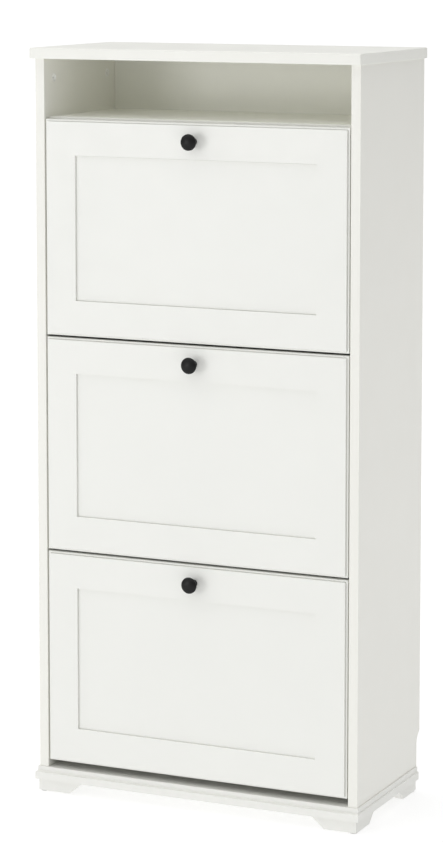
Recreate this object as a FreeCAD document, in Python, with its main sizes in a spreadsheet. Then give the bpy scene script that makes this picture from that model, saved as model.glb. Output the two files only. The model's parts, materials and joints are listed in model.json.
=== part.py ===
"""Shoe cabinet with three tip-out compartments under an open niche.

Millimetres. The origin is on the floor, under the middle of the whole cabinet with its
knobs. +X is to the right of someone who faces the doors, +Y is towards the wall and +Z is up.
"""

import FreeCAD, Part
import os
import Sketcher

SIZES = (
    # the case
    ("TotalHeight", 1300.0, "floor to the top face"),
    ("BackY", 157.5, "wall side of the case"),
    ("TopWidth", 610.0, "top board along X"),
    ("TopDepth", 300.0, "top board along Y"),
    ("TopThick", 18.5, "top board thickness"),
    ("TopEase", 2.5, "rounding of the top board's upper edges"),
    ("CaseWidth", 600.0, "outside to outside of the two sides"),
    ("SideThick", 17.0, "side board thickness"),
    ("SideDepth", 287.0, "side board along Y"),
    ("BoardThick", 16.0, "shelf and rail thickness"),
    ("NicheClear", 99.5, "clear height of the niche"),
    ("ShelfFront", -112.0, "front edge of the niche shelf in Y"),
    ("RailInset", 22.0, "front face of the rear rails to the wall side"),
    ("WallRailHeight", 80.0, "rail that takes the wall screws"),
    ("RailHeight", 60.0, "middle and lower rail"),
    ("PanelThick", 3.0, "hardboard back"),
    ("PanelFoot", 4.0, "hardboard and lower rail above the skirting cut-out"),
    ("RebateWidth", 8.0, "rebate in the sides for the back"),
    ("SkirtDepth", 13.7, "skirting cut-out depth"),
    ("SkirtStart", 106.0, "height where the cut-out begins"),
    ("SkirtFull", 86.0, "height where the cut-out has its full depth"),
    # the plinth and feet
    ("FeetHeight", 22.0, "floor to the underside of the base board"),
    ("GlideThick", 1.5, "glide under a foot"),
    ("GlideRadius", 7.0, "glide radius"),
    ("BaseThick", 22.0, "base board thickness"),
    ("BaseCapThick", 8.5, "upper step of the base moulding"),
    ("BaseCapLip", 2.5, "upper step beyond the sides, all round"),
    ("BaseSideLip", 5.0, "lower step beyond the sides at left and right"),
    ("BaseFrontLip", 8.5, "lower step beyond the sides' front edges"),
    ("BaseEase", 2.0, "bevel on the lower step"),
    ("BaseWallGap", 16.0, "base board's rear edge to the wall side"),
    ("FootSpan", 83.0, "foot wing along its top"),
    ("FootSlant", 24.0, "how much shorter a wing is at the bottom"),
    ("FootFrontLip", 4.0, "front feet beyond the sides' front edges"),
    ("FootScrewSet", 50.0, "foot screw to the corner, along the wing"),
    ("FootCounterbore", 9.0, "counterbore for a foot screw's head"),
    ("FootScrewGrip", 14.0, "foot screw in the base board"),
    # the tip-out fronts
    ("FrontWidth", 561.0, "front along X"),
    ("FrontHeight", 371.0, "front along Z"),
    ("FrontThick", 16.0, "front thickness at its frame"),
    ("FrontRaise", 4.0, "frame face in front of the edge lip"),
    ("FrontRecess", 1.7, "edge lip behind the sides' front edges"),
    ("FrontBottom", 57.5, "lowest front's lower edge"),
    ("FrontPitch", 375.0, "one front to the next"),
    ("LipWidth", 3.5, "flat edge lip"),
    ("StileWidth", 57.0, "frame width at left and right"),
    ("CrossWidth", 61.0, "frame width at top and bottom"),
    ("PanelSink", 4.0, "panel behind the frame face"),
    ("BevelAngle", 2.86, "both steps' walls from square, in degrees: 0.2 across for 4 of depth"),
    # the knob
    ("KnobDrop", 30.5, "knob centre below the front's top edge"),
    ("KnobReach", 25.7, "knob in front of the frame face"),
    ("KnobRadius", 14.0, "head radius"),
    ("NeckRadius", 4.8, "neck radius"),
    ("KnobFoot", 6.5, "foot radius"),
    ("KnobThread", 2.0, "screw radius"),
    ("KnobThreadDepth", 10.0, "thread in the knob"),
    # the pivots
    ("PivotRise", 70.0, "pivot above a front's lower edge"),
    ("PivotBack", 7.5, "pivot behind a front's back face"),
    ("PinRadius", 3.0, "pivot pin"),
    ("RunningFit", 0.05, "radial clearance of the pin in its bush"),
    ("BushRadius", 6.0, "bush body"),
    ("BushFlange", 9.0, "bush flange radius"),
    ("FlangeThick", 1.5, "bush flange thickness"),
    ("BushDepth", 10.0, "bush body in the side"),
    ("PegRadius", 4.0, "stop peg"),
    ("PegOut", 38.823, "stop peg behind the pivot"),
    ("PegUp", 144.889, "stop peg above the pivot"),
    # the insert
    ("CheekThick", 3.0, "plastic cheek plate"),
    ("CheekGap", 5.5, "cheek to the side board"),
    ("CheekReach", 228.0, "cheek behind the pivot"),
    ("CheekRadius", 245.0, "cheek's rounded edge about the pivot"),
    ("CheekDrop", 64.0, "cheek below the pivot"),
    ("CheekHeel", 15.0, "cheek's lower rear corner below the pivot"),
    ("CheekToe", 118.0, "where the cheek's lower edge starts to rise"),
    ("BossRadius", 7.0, "boss round the pin"),
    ("BossStand", 3.7, "boss beyond the cheek's outer face"),
    ("StripWidth", 25.5, "screw strip against the front"),
    ("StripFoot", 4.0, "screw strip's lower end above the cheek's lower edge"),
    ("StripTop", 232.0, "screw strip's upper end above the pivot"),
    ("SlotPlay", 0.4, "slot round the stop peg"),
    ("OpenAngle", 48.0, "how far a front tips out, degrees"),
    ("StripGrip", 11.0, "cheek screw in the front"),
    ("StripRelief", 0.5, "screw strip thicker than the cheek plate"),
    ("SheetThick", 3.0, "tray sheet"),
    ("TrayFloor", 50.0, "front tray's floor below the pivot"),
    ("TrayLip", 12.0, "front tray's lip above its floor"),
    ("TrayWallFoot", 110.0, "front tray's rear wall at the floor, behind the pivot"),
    ("TrayWallTop", 128.0, "front tray's rear wall at its top, behind the pivot"),
    ("TrayWallHeight", 112.0, "top of the front tray's rear wall above the pivot"),
    ("TrayGrip", 13.0, "tray screw in its boss"),
    ("TrayBoss", 4.5, "boss round a tray screw"),
    ("TrayBossLength", 18.0, "boss of a tray screw along X"),
    # fixings
    ("CamRadius", 7.5, "cam lock"),
    ("CamDepth", 12.5, "cam lock depth"),
    ("CamSet", 34.0, "cam lock centre to the joint"),
    ("ShelfCamSet", 24.0, "cam lock centre to the shelf's end"),
    ("BoltRadius", 3.0, "cam bolt shaft"),
    ("BoltPlay", 0.5, "shaft hole round the bolt"),
    ("BoltThread", 3.5, "cam bolt thread radius"),
    ("ThreadDepth", 11.0, "cam bolt thread length"),
    ("FixFront", -93.1, "front row of fixings in Y"),
    ("FixRear", 106.9, "rear row of fixings in Y"),
    ("DowelInFront", 55.0, "front row of dowels behind the front fixings"),
    ("DowelInRear", 45.0, "rear row of dowels before the rear fixings"),
    ("DowelRadius", 4.0, "dowel"),
    ("DowelInside", 12.0, "dowel in a side board's face"),
    ("DowelLength", 30.0, "dowel length"),
    ("ScrewRadius", 1.75, "wood screw shank"),
    ("HeadRadius", 3.5, "wood screw head"),
    ("HeadThick", 2.0, "wood screw head thickness"),
    ("NailRadius", 0.9, "back panel nail"),
    ("NailHead", 2.5, "nail head radius"),
    ("NailHeadThick", 0.8, "nail head thickness"),
    ("NailLength", 16.0, "nail shank"),
    ("NailLow", 34.0, "lowest side nail above the skirting cut-out"),
    ("NailHigh", 44.0, "highest side nail below the top board"),
    ("NailSpan", 150.0, "one nail to the next along a rail"),
    ("WallHole", 3.0, "hole radius for a wall screw"),
    ("WallHoleSpan", 400.0, "one wall screw hole to the other"),
)

doc = FreeCAD.newDocument("ShoeCabinet")
sheet = doc.addObject("Spreadsheet::Sheet", "Sizes")
for row, (alias, number, note) in enumerate(SIZES, start=1):
    sheet.set(f"A{row}", note)
    sheet.set(f"B{row}", str(number))
    sheet.setAlias(f"B{row}", alias)
doc.recompute()


class Size:
    """A length that carries its sheet expression together with its present value."""

    def __init__(self, text, value):
        self.text = text
        self.value = value

    @staticmethod
    def of(other):
        return other if isinstance(other, Size) else Size(repr(float(other)), float(other))

    def join(self, sign, other, value):
        return Size(f"({self.text} {sign} {other.text})", value)

    def __add__(self, other):
        other = Size.of(other)
        return self.join("+", other, self.value + other.value)

    def __sub__(self, other):
        other = Size.of(other)
        return self.join("-", other, self.value - other.value)

    def __mul__(self, other):
        other = Size.of(other)
        return self.join("*", other, self.value * other.value)

    def __truediv__(self, other):
        other = Size.of(other)
        return self.join("/", other, self.value / other.value)

    def __radd__(self, other):
        return Size.of(other) + self

    def __rsub__(self, other):
        return Size.of(other) - self

    def __rmul__(self, other):
        return Size.of(other) * self

    def __neg__(self):
        return Size.of(-1) * self


def named(alias):
    """The sheet's cell of this name."""
    return Size(f"Sizes.{alias}", float(sheet.get(alias)))


S = {alias: named(alias) for alias, _, _ in SIZES}

# Places that several pieces share
HALF_CASE = S["CaseWidth"] / 2
INNER = HALF_CASE - S["SideThick"]
SIDE_MIDDLE = HALF_CASE - S["SideThick"] / 2
SIDE_FRONT = S["BackY"] - S["SideDepth"]
TOP_UNDER = S["TotalHeight"] - S["TopThick"]
SHELF_TOP = TOP_UNDER - S["NicheClear"]
SHELF_UNDER = SHELF_TOP - S["BoardThick"]
SHELF_MIDDLE = SHELF_TOP - S["BoardThick"] / 2
BASE_TOP = S["FeetHeight"] + S["BaseThick"]
BASE_REAR = S["BackY"] - S["BaseWallGap"]
RAIL_FRONT = S["BackY"] - S["RailInset"]
RAIL_REAR = RAIL_FRONT + S["BoardThick"]
FRONT_LIP_Y = SIDE_FRONT + S["FrontRecess"]
FRONT_BACK_Y = FRONT_LIP_Y - S["FrontRaise"] + S["FrontThick"]
PIVOT_Y = FRONT_BACK_Y + S["PivotBack"]
FRONT_NAMES = ("bottom", "middle", "top")
SIDES = (("left", -1), ("right", 1))
FOOT_CORNERS = (
    ("foot_front_left", -1, -1),
    ("foot_front_right", 1, -1),
    ("foot_rear_left", -1, 1),
    ("foot_rear_right", 1, 1),
)

# Rows of fixings, seen along Y
FIX_ROWS = (S["FixFront"], S["FixRear"])
DOWEL_ROWS = (S["FixFront"] + S["DowelInFront"], S["FixRear"] - S["DowelInRear"])
SHELF_DOWEL_Y = (S["FixFront"] + S["FixRear"]) / 2
NAIL_GRIP = S["NailLength"] - S["PanelThick"]
SIDE_NAILS = 8

# Rear rails: name, lowest Z, highest Z, front face Y. The niche's back stands behind its shelf.
RAIL_FOOT = S["SkirtStart"] + S["PanelFoot"]
RAIL_MID_Z = S["FrontBottom"] + 1.5 * S["FrontPitch"]
RAILS = (
    ("niche_back", SHELF_UNDER, TOP_UNDER, RAIL_FRONT),
    ("wall_rail", SHELF_UNDER - S["WallRailHeight"], SHELF_UNDER, RAIL_FRONT),
    ("middle_rail", RAIL_MID_Z - S["RailHeight"] / 2, RAIL_MID_Z + S["RailHeight"] / 2,
     RAIL_FRONT),
    ("lower_rail", RAIL_FOOT, RAIL_FOOT + S["RailHeight"], RAIL_FRONT),
    ("base_rail", BASE_TOP, S["SkirtStart"], BASE_REAR - S["BoardThick"]),
)


def bind(thing, path, size):
    """Ties one property of an object to the sheet."""
    thing.setExpression(path, Size.of(size).text)


def make_body(label, place=(0, 0, 0)):
    """An empty body at a place of its own."""
    body = doc.addObject("PartDesign::Body", label)
    body.Label = label
    for axis, size in zip("xyz", place):
        bind(body, f"Placement.Base.{axis}", size)
    return body


def make_sketch(body, plane, offset=0):
    """An empty sketch on one of the body's own planes, moved along the plane's normal."""
    sketch = body.newObject("Sketcher::SketchObject", f"{body.Name}_sketch")
    flat = [face for face in body.Origin.OriginFeatures if face.Role == plane][0]
    sketch.AttachmentSupport = [(flat, "")]
    sketch.MapMode = "FlatFace"
    bind(sketch, "AttachmentOffset.Base.z", offset)
    return sketch


def pin_point(sketch, edge, point, place):
    """Fixes one point of a sketch at a place given by the sheet."""
    for kind, size in zip(("DistanceX", "DistanceY"), place):
        size = Size.of(size)
        index = sketch.addConstraint(Sketcher.Constraint(kind, edge, point, size.value))
        sketch.setExpression(f"Constraints[{index}]", size.text)


def at(place):
    """A sketch point as a vector."""
    return FreeCAD.Vector(Size.of(place[0]).value, Size.of(place[1]).value, 0)


def draw_outline(sketch, corners, bends=None):
    """A closed outline through corners. bends gives each arc's middle point and centre X."""
    bends = bends or {}
    count = len(corners)
    for index, corner in enumerate(corners):
        start, end = at(corner), at(corners[(index + 1) % count])
        if index in bends:
            sketch.addGeometry(Part.Arc(start, bends[index][0], end), False)
        else:
            sketch.addGeometry(Part.LineSegment(start, end), False)
    first, last = {}, {}
    for index in range(count):
        edge = sketch.Geometry[index]
        begins = (edge.StartPoint - at(corners[index])).Length < 1e-6
        first[index], last[index] = (1, 2) if begins else (2, 1)
    for index in range(count):
        after = (index + 1) % count
        sketch.addConstraint(
            Sketcher.Constraint("Coincident", index, last[index], after, first[after])
        )
    for index, corner in enumerate(corners):
        pin_point(sketch, index, first[index], corner)
    for edge, (_, centre_x) in bends.items():
        centre_x = Size.of(centre_x)
        index = sketch.addConstraint(Sketcher.Constraint("DistanceX", edge, 3, centre_x.value))
        sketch.setExpression(f"Constraints[{index}]", centre_x.text)


def draw_circles(sketch, centres, radius):
    """Circles of one radius."""
    radius = Size.of(radius)
    for centre in centres:
        circle = Part.Circle(at(centre), FreeCAD.Vector(0, 0, 1), radius.value)
        edge = sketch.addGeometry(circle, False)
        pin_point(sketch, edge, 3, centre)
        index = sketch.addConstraint(Sketcher.Constraint("Radius", edge, radius.value))
        sketch.setExpression(f"Constraints[{index}]", radius.text)


def body_volume(body):
    """The body's volume so far."""
    doc.recompute()
    return body.Shape.Volume if body.Tip else 0.0


def grow(body, sketch, depth, sign=1, taper=None):
    """Pads a sketch along its normal (sign 1) or against it (sign -1)."""
    before = body_volume(body)
    pad = body.newObject("PartDesign::Pad", f"{body.Name}_pad")
    pad.Profile = sketch
    pad.Reversed = sign < 0
    bind(pad, "Length", depth)
    if taper is not None:
        bind(pad, "TaperAngle", taper)
    after = body_volume(body)
    if after <= before:
        raise RuntimeError(f"{body.Label}: a pad added nothing")
    return pad


def cut(body, sketch, depth, sign=-1, taper=None):
    """Pockets a sketch against its normal (sign -1) or along it (sign 1)."""
    before = body_volume(body)
    pocket = body.newObject("PartDesign::Pocket", f"{body.Name}_pocket")
    pocket.Profile = sketch
    pocket.Reversed = sign > 0
    bind(pocket, "Length", depth)
    if taper is not None:
        bind(pocket, "TaperAngle", taper)
    after = body_volume(body)
    if after >= before - 1e-3:
        raise RuntimeError(f"{body.Label}: a pocket cut nothing")
    return pocket


def slab(body, plane, offset, corners, depth, sign=1, bends=None, taper=None):
    """Pads an outline on a plane."""
    sketch = make_sketch(body, plane, offset)
    draw_outline(sketch, corners, bends)
    return grow(body, sketch, depth, sign, taper)


def drill(body, plane, offset, centres, radius, depth, sign):
    """Round holes from a plane, along its normal (sign 1) or against it (sign -1)."""
    sketch = make_sketch(body, plane, offset)
    draw_circles(sketch, centres, radius)
    return cut(body, sketch, depth, sign)


def rectangle(low, high):
    """The corners of a rectangle from its lowest and highest corner."""
    return [(low[0], low[1]), (high[0], low[1]), (high[0], high[1]), (low[0], high[1])]


def edges_where(feature, test):
    """Names of the straight edges whose two ends both pass a test."""
    names = []
    for index, edge in enumerate(feature.Shape.Edges, start=1):
        if len(edge.Vertexes) == 2 and all(test(vertex.Point) for vertex in edge.Vertexes):
            names.append(f"Edge{index}")
    return names


def soften(body, kind, feature, names, path, size):
    """Rounds or bevels edges of a body's last feature."""
    dressing = body.newObject(f"PartDesign::{kind}", f"{body.Name}_{kind.lower()}")
    dressing.Base = (feature, names)
    bind(dressing, path, size)
    doc.recompute()
    return dressing


AXIS_TURNS = {
    "x": FreeCAD.Rotation(FreeCAD.Vector(0, 1, 0), 90),
    "y": FreeCAD.Rotation(FreeCAD.Vector(1, 0, 0), -90),
    "z": FreeCAD.Rotation(),
}


def rod(label, axis, start, radius, length):
    """A cylinder that runs from start in the +axis direction."""
    cylinder = doc.addObject("Part::Cylinder", label)
    bind(cylinder, "Radius", radius)
    bind(cylinder, "Height", length)
    cylinder.Placement = FreeCAD.Placement(FreeCAD.Vector(), AXIS_TURNS[axis])
    for name, size in zip("xyz", start):
        bind(cylinder, f"Placement.Base.{name}", size)
    return cylinder


def along(axis, start, distance):
    """A place moved along an axis."""
    return tuple(
        size + distance if name == axis else size for name, size in zip("xyz", start)
    )


def span(axis, start, length, sign):
    """Where a rod begins so that it runs from start towards the sign's side."""
    return start if sign > 0 else along(axis, start, -Size.of(length))


def stepped_rod(label, axis, start, sign, steps):
    """Rods end to end from start, each (radius, length), fused into one solid."""
    parts, place = [], start
    for number, (radius, length) in enumerate(steps):
        parts.append(
            rod(f"{label}_{number}", axis, span(axis, place, length, sign), radius, length)
        )
        place = along(axis, place, Size.of(length) * sign)
    fused = doc.addObject("Part::MultiFuse", label)
    fused.Shapes = parts
    fused.Refine = True
    return fused


def group(label, members):
    """Identical pieces kept as separate solids under one name."""
    compound = doc.addObject("Part::Compound", label)
    compound.Label = label
    compound.Links = members
    return compound


# ---------------------------------------------------------------- the case


def top_panel():
    body = make_body("top_panel")
    half = S["TopWidth"] / 2
    front = S["BackY"] - S["TopDepth"]
    board = slab(
        body, "XY_Plane", TOP_UNDER, rectangle((-half, front), (half, S["BackY"])), S["TopThick"]
    )
    height, rear = S["TotalHeight"].value, S["BackY"].value

    def eased(point):
        return abs(point.z - height) < 1e-3

    names = [
        name
        for name in edges_where(board, eased)
        if not all(abs(v.Point.y - rear) < 1e-3 for v in board.Shape.getElement(name).Vertexes)
    ]
    soften(body, "Fillet", board, names, "Radius", S["TopEase"])
    places = [(SIDE_MIDDLE * sign, y) for sign in (-1, 1) for y in FIX_ROWS]
    drill(body, "XY_Plane", TOP_UNDER, places, S["BoltThread"], S["ThreadDepth"], 1)
    dowels = [(SIDE_MIDDLE * sign, y) for sign in (-1, 1) for y in DOWEL_ROWS]
    drill(body, "XY_Plane", TOP_UNDER, dowels, S["DowelRadius"], S["DowelInside"], 1)
    return body


def bottom_panel():
    body = make_body("bottom_panel")
    half = HALF_CASE + S["BaseSideLip"]
    step = slab(
        body,
        "XY_Plane",
        S["FeetHeight"],
        rectangle((-half, SIDE_FRONT - S["BaseFrontLip"]), (half, BASE_REAR)),
        S["BaseThick"] - S["BaseCapThick"],
    )
    level, rear = (BASE_TOP - S["BaseCapThick"]).value, BASE_REAR.value
    names = [
        name
        for name in edges_where(step, lambda point: abs(point.z - level) < 1e-3)
        if not all(abs(v.Point.y - rear) < 1e-3 for v in step.Shape.getElement(name).Vertexes)
    ]
    soften(body, "Chamfer", step, names, "Size", S["BaseEase"])
    half = HALF_CASE + S["BaseCapLip"]
    slab(
        body,
        "XY_Plane",
        BASE_TOP - S["BaseCapThick"],
        rectangle((-half, SIDE_FRONT - S["BaseCapLip"]), (half, BASE_REAR)),
        S["BaseCapThick"],
    )
    places = [(SIDE_MIDDLE * sign, y) for sign in (-1, 1) for y in FIX_ROWS]
    drill(body, "XY_Plane", BASE_TOP, places, S["BoltThread"], S["ThreadDepth"], -1)
    dowels = [(SIDE_MIDDLE * sign, y) for sign in (-1, 1) for y in DOWEL_ROWS]
    drill(body, "XY_Plane", BASE_TOP, dowels, S["DowelRadius"], S["DowelInside"], -1)
    screws = foot_screw_places()
    drill(body, "XY_Plane", S["FeetHeight"], screws, S["ScrewRadius"], S["FootScrewGrip"], 1)
    return body


def rail_dowel_places(low, high, front):
    """Two dowels in a rail's end, as (Y, Z)."""
    quarter = (high - low) / 4
    middle = front + S["BoardThick"] / 2
    return [(middle, low + quarter), (middle, high - quarter)]


def pivot_height(number):
    """Height of one front's pivot, counted from the lowest front."""
    return S["FrontBottom"] + S["FrontPitch"] * number + S["PivotRise"]


def side_nail_places(sign):
    """The nails along one side, as (X, Z)."""
    low, high = S["SkirtStart"] + S["NailLow"], TOP_UNDER - S["NailHigh"]
    x = (INNER + S["RebateWidth"] / 2) * sign
    return [(x, low + (high - low) * (nail / (SIDE_NAILS - 1))) for nail in range(SIDE_NAILS)]


def rail_nail_places(low, high):
    """The nails along one rear rail, as (X, Z)."""
    return [(S["NailSpan"] * step, (low + high) / 2) for step in (-1, 0, 1)]


def nail_places():
    """Every nail of the back panel, as (X, Z)."""
    places = side_nail_places(-1) + side_nail_places(1)
    for _, low, high, front in RAILS:
        if front is RAIL_FRONT:
            places += rail_nail_places(low, high)
    return places


def side(name, sign):
    body = make_body(f"{name}_side")
    inner = INNER * sign
    outline = rectangle((SIDE_FRONT, BASE_TOP), (S["BackY"], TOP_UNDER))
    slab(body, "YZ_Plane", inner, outline, S["SideThick"], sign)
    # the cove over the skirting: an arc that leaves the upright line of the cut-out smoothly
    rise, run = S["SkirtStart"] - S["SkirtFull"], S["SkirtDepth"]
    radius = (rise * rise + run * run) / (run * 2)
    centre_x = S["BackY"] - run + radius
    centre = at((centre_x, S["SkirtFull"]))
    chord = at((S["BackY"] - run / 2, S["SkirtFull"] + rise / 2)) - centre
    bend = centre + chord.normalize() * radius.value
    past = S["BackY"] + 1
    corners = [
        (S["BackY"] - S["SkirtDepth"], BASE_TOP - 1),
        (S["BackY"] - S["SkirtDepth"], S["SkirtFull"]),
        (S["BackY"], S["SkirtStart"]),
        (past, S["SkirtStart"]),
        (past, BASE_TOP - 1),
    ]
    sketch = make_sketch(body, "YZ_Plane", inner)
    draw_outline(sketch, corners, {1: (bend, centre_x)})
    cut(body, sketch, S["SideThick"], sign)
    # the rebate for the back panel
    rebate = rectangle((RAIL_REAR, RAIL_FOOT - S["PanelFoot"] / 2), (past, TOP_UNDER))
    sketch = make_sketch(body, "YZ_Plane", inner)
    draw_outline(sketch, rebate)
    cut(body, sketch, S["RebateWidth"], sign)
    # cam locks, their bolts and the dowels
    cams = [(y, TOP_UNDER - S["CamSet"]) for y in FIX_ROWS]
    cams += [(y, BASE_TOP + S["CamSet"]) for y in FIX_ROWS]
    drill(body, "YZ_Plane", inner, cams, S["CamRadius"], S["CamDepth"], sign)
    middle = SIDE_MIDDLE * sign
    shafts = [(middle, y) for y in FIX_ROWS]
    pegs = [(middle, y) for y in DOWEL_ROWS]
    shaft_hole = S["BoltRadius"] + S["BoltPlay"]
    upright = S["DowelLength"] - S["DowelInside"]
    for level, way in ((TOP_UNDER, -1), (BASE_TOP, 1)):
        drill(body, "XY_Plane", level, shafts, shaft_hole, S["CamSet"], way)
        drill(body, "XY_Plane", level, pegs, S["DowelRadius"], upright, way)
    shelf_bolts = [(y, SHELF_MIDDLE) for y in FIX_ROWS]
    drill(body, "YZ_Plane", inner, shelf_bolts, S["BoltThread"], S["ThreadDepth"], sign)
    dowels = [(SHELF_DOWEL_Y, SHELF_MIDDLE)]
    for _, low, high, front in RAILS:
        dowels += rail_dowel_places(low, high, front)
    drill(body, "YZ_Plane", inner, dowels, S["DowelRadius"], S["DowelInside"], sign)
    # pivot bushes and stop pegs
    bushes = [(PIVOT_Y, pivot_height(number)) for number in range(3)]
    drill(body, "YZ_Plane", inner, bushes, S["BushRadius"], S["BushDepth"], sign)
    stops = [(PIVOT_Y + S["PegOut"], pivot_height(number) + S["PegUp"]) for number in range(3)]
    drill(body, "YZ_Plane", inner, stops, S["PegRadius"], S["BushDepth"], sign)
    # nails of the back panel, seen along Y
    drill(body, "XZ_Plane", -RAIL_REAR, side_nail_places(sign), S["NailRadius"], NAIL_GRIP, 1)
    return body


def niche_shelf():
    body = make_body("niche_shelf")
    outline = rectangle((-INNER, S["ShelfFront"]), (INNER, RAIL_FRONT))
    slab(body, "XY_Plane", SHELF_UNDER, outline, S["BoardThick"])
    cam_x = INNER - S["ShelfCamSet"]
    cams = [(cam_x * sign, y) for sign in (-1, 1) for y in FIX_ROWS]
    drill(body, "XY_Plane", SHELF_UNDER, cams, S["CamRadius"], S["CamDepth"], 1)
    shafts = [(y, SHELF_MIDDLE) for y in FIX_ROWS]
    shaft_hole = S["BoltRadius"] + S["BoltPlay"]
    dowel_run = S["DowelLength"] - S["DowelInside"]
    for sign in (-1, 1):
        drill(body, "YZ_Plane", INNER * sign, shafts, shaft_hole, S["ShelfCamSet"], -sign)
        drill(
            body,
            "YZ_Plane",
            INNER * sign,
            [(SHELF_DOWEL_Y, SHELF_MIDDLE)],
            S["DowelRadius"],
            dowel_run,
            -sign,
        )
    return body


def rear_rail(name, low, high, front):
    body = make_body(name)
    outline = rectangle((-INNER, low), (INNER, high))
    slab(body, "XZ_Plane", -front, outline, S["BoardThick"], -1)
    dowels = rail_dowel_places(low, high, front)
    run = S["DowelLength"] - S["DowelInside"]
    for sign in (-1, 1):
        drill(body, "YZ_Plane", INNER * sign, dowels, S["DowelRadius"], run, -sign)
    if front is RAIL_FRONT:
        nails = rail_nail_places(low, high)
        drill(body, "XZ_Plane", -RAIL_REAR, nails, S["NailRadius"], NAIL_GRIP, 1)
    if name == "wall_rail":
        drill(body, "XZ_Plane", -RAIL_REAR, wall_hole_places(), S["WallHole"], S["BoardThick"], 1)
    return body


def wall_hole_places():
    """The two holes for wall screws, as (X, Z)."""
    middle = SHELF_UNDER - S["WallRailHeight"] / 2
    return [(S["WallHoleSpan"] / 2 * sign, middle) for sign in (-1, 1)]


def back_panel():
    body = make_body("back_panel")
    half = INNER + S["RebateWidth"]
    outline = rectangle((-half, RAIL_FOOT), (half, TOP_UNDER))
    slab(body, "XZ_Plane", -RAIL_REAR, outline, S["PanelThick"], -1)
    rear = -(RAIL_REAR + S["PanelThick"])
    drill(body, "XZ_Plane", rear, nail_places(), S["NailRadius"], S["PanelThick"], 1)
    drill(body, "XZ_Plane", rear, wall_hole_places(), S["WallHole"], S["PanelThick"], 1)
    return body


def back_panel_nails():
    rear = RAIL_REAR + S["PanelThick"] + S["NailHeadThick"]
    steps = [(S["NailHead"], S["NailHeadThick"]), (S["NailRadius"], S["NailLength"])]
    members = [
        stepped_rod(f"nail_{number}", "y", (x, rear, z), -1, steps)
        for number, (x, z) in enumerate(nail_places())
    ]
    return group("back_panel_nails", members)


# ---------------------------------------------------------------- feet

WING = S["BoardThick"]


def foot_face(end):
    """Outer Y of the feet at the front (-1) or the rear (1)."""
    return SIDE_FRONT - S["FootFrontLip"] if end < 0 else BASE_REAR


def foot(name, sign, end):
    """A corner bracket of two wings, each with a slanted free end."""
    body = make_body(name)
    low, high = S["GlideThick"], S["FeetHeight"]
    long, short = S["FootSpan"], S["FootSpan"] - S["FootSlant"]
    face = foot_face(end)
    front = [
        (HALF_CASE * sign, low),
        ((HALF_CASE - short) * sign, low),
        ((HALF_CASE - long) * sign, high),
        (HALF_CASE * sign, high),
    ]
    slab(body, "XZ_Plane", -face, front, WING, end)
    beside = [
        (face, low),
        (face - short * end, low),
        (face - long * end, high),
        (face, high),
    ]
    slab(body, "YZ_Plane", HALF_CASE * sign, beside, WING, -sign)
    places = [(x, y) for x, y in foot_screw_places() if x.value * sign > 0 and y.value * end > 0]
    drill(body, "XY_Plane", high, places, S["ScrewRadius"], high - low, -1)
    drill(body, "XY_Plane", low, places, S["HeadRadius"], S["FootCounterbore"], 1)
    return body


def foot_screw_places():
    """Two screws in each foot, as (X, Y)."""
    places = []
    for _, sign, end in FOOT_CORNERS:
        face = foot_face(end)
        reach = S["FootScrewSet"]
        places.append(((HALF_CASE - reach) * sign, face - WING / 2 * end))
        places.append(((HALF_CASE - WING / 2) * sign, face - reach * end))
    return places


def foot_screws():
    head = S["GlideThick"] + S["FootCounterbore"] - S["HeadThick"]
    shank = S["FeetHeight"] + S["FootScrewGrip"] - head - S["HeadThick"]
    steps = [(S["HeadRadius"], S["HeadThick"]), (S["ScrewRadius"], shank)]
    members = [
        stepped_rod(f"foot_screw_{number}", "z", (x, y, head), 1, steps)
        for number, (x, y) in enumerate(foot_screw_places())
    ]
    return group("foot_screws", members)


def foot_glides():
    members = []
    for name, sign, end in FOOT_CORNERS:
        place = ((HALF_CASE - WING / 2) * sign, foot_face(end) - WING / 2 * end, Size.of(0))
        members.append(rod(f"{name}_glide", "z", place, S["GlideRadius"], S["GlideThick"]))
    return group("foot_glides", members)


# ---------------------------------------------------------------- fixings of the case


def cam_lock(label, axis, face, sign, bolt_axis, bolt_sign):
    """A cam lock from a board's face inwards, with the hole that takes the bolt's end."""
    drum = rod(f"{label}_drum", axis, span(axis, face, S["CamDepth"], sign), S["CamRadius"],
               S["CamDepth"])
    board = S["SideThick"] if axis == "x" else S["BoardThick"]
    centre = along(axis, face, board / 2 * sign)
    hole = rod(
        f"{label}_hole",
        bolt_axis,
        span(bolt_axis, centre, S["CamRadius"] + 1, bolt_sign),
        S["BoltRadius"] + 0.3,
        S["CamRadius"] + 1,
    )
    lock = doc.addObject("Part::Cut", label)
    lock.Base = drum
    lock.Tool = hole
    return lock


def cam_joints():
    """Every cam lock: label, axis, face, sign, bolt axis, bolt sign, joint plane place."""
    joints = []
    for name, sign in SIDES:
        for row, y in enumerate(FIX_ROWS):
            for level, joint, up in (("top", TOP_UNDER, 1), ("base", BASE_TOP, -1)):
                face = (INNER * sign, y, joint - S["CamSet"] * up)
                end = (SIDE_MIDDLE * sign, y, joint)
                joints.append((f"{level}_{name}_{row}", "x", face, sign, "z", up, end))
            face = ((INNER - S["ShelfCamSet"]) * sign, y, SHELF_UNDER)
            end = (INNER * sign, y, SHELF_MIDDLE)
            joints.append((f"shelf_{name}_{row}", "z", face, 1, "x", sign, end))
    return joints


def cam_locks():
    members = [
        cam_lock(f"cam_{label}", axis, face, sign, bolt_axis, way)
        for label, axis, face, sign, bolt_axis, way, _ in cam_joints()
    ]
    return group("cam_locks", members)


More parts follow.
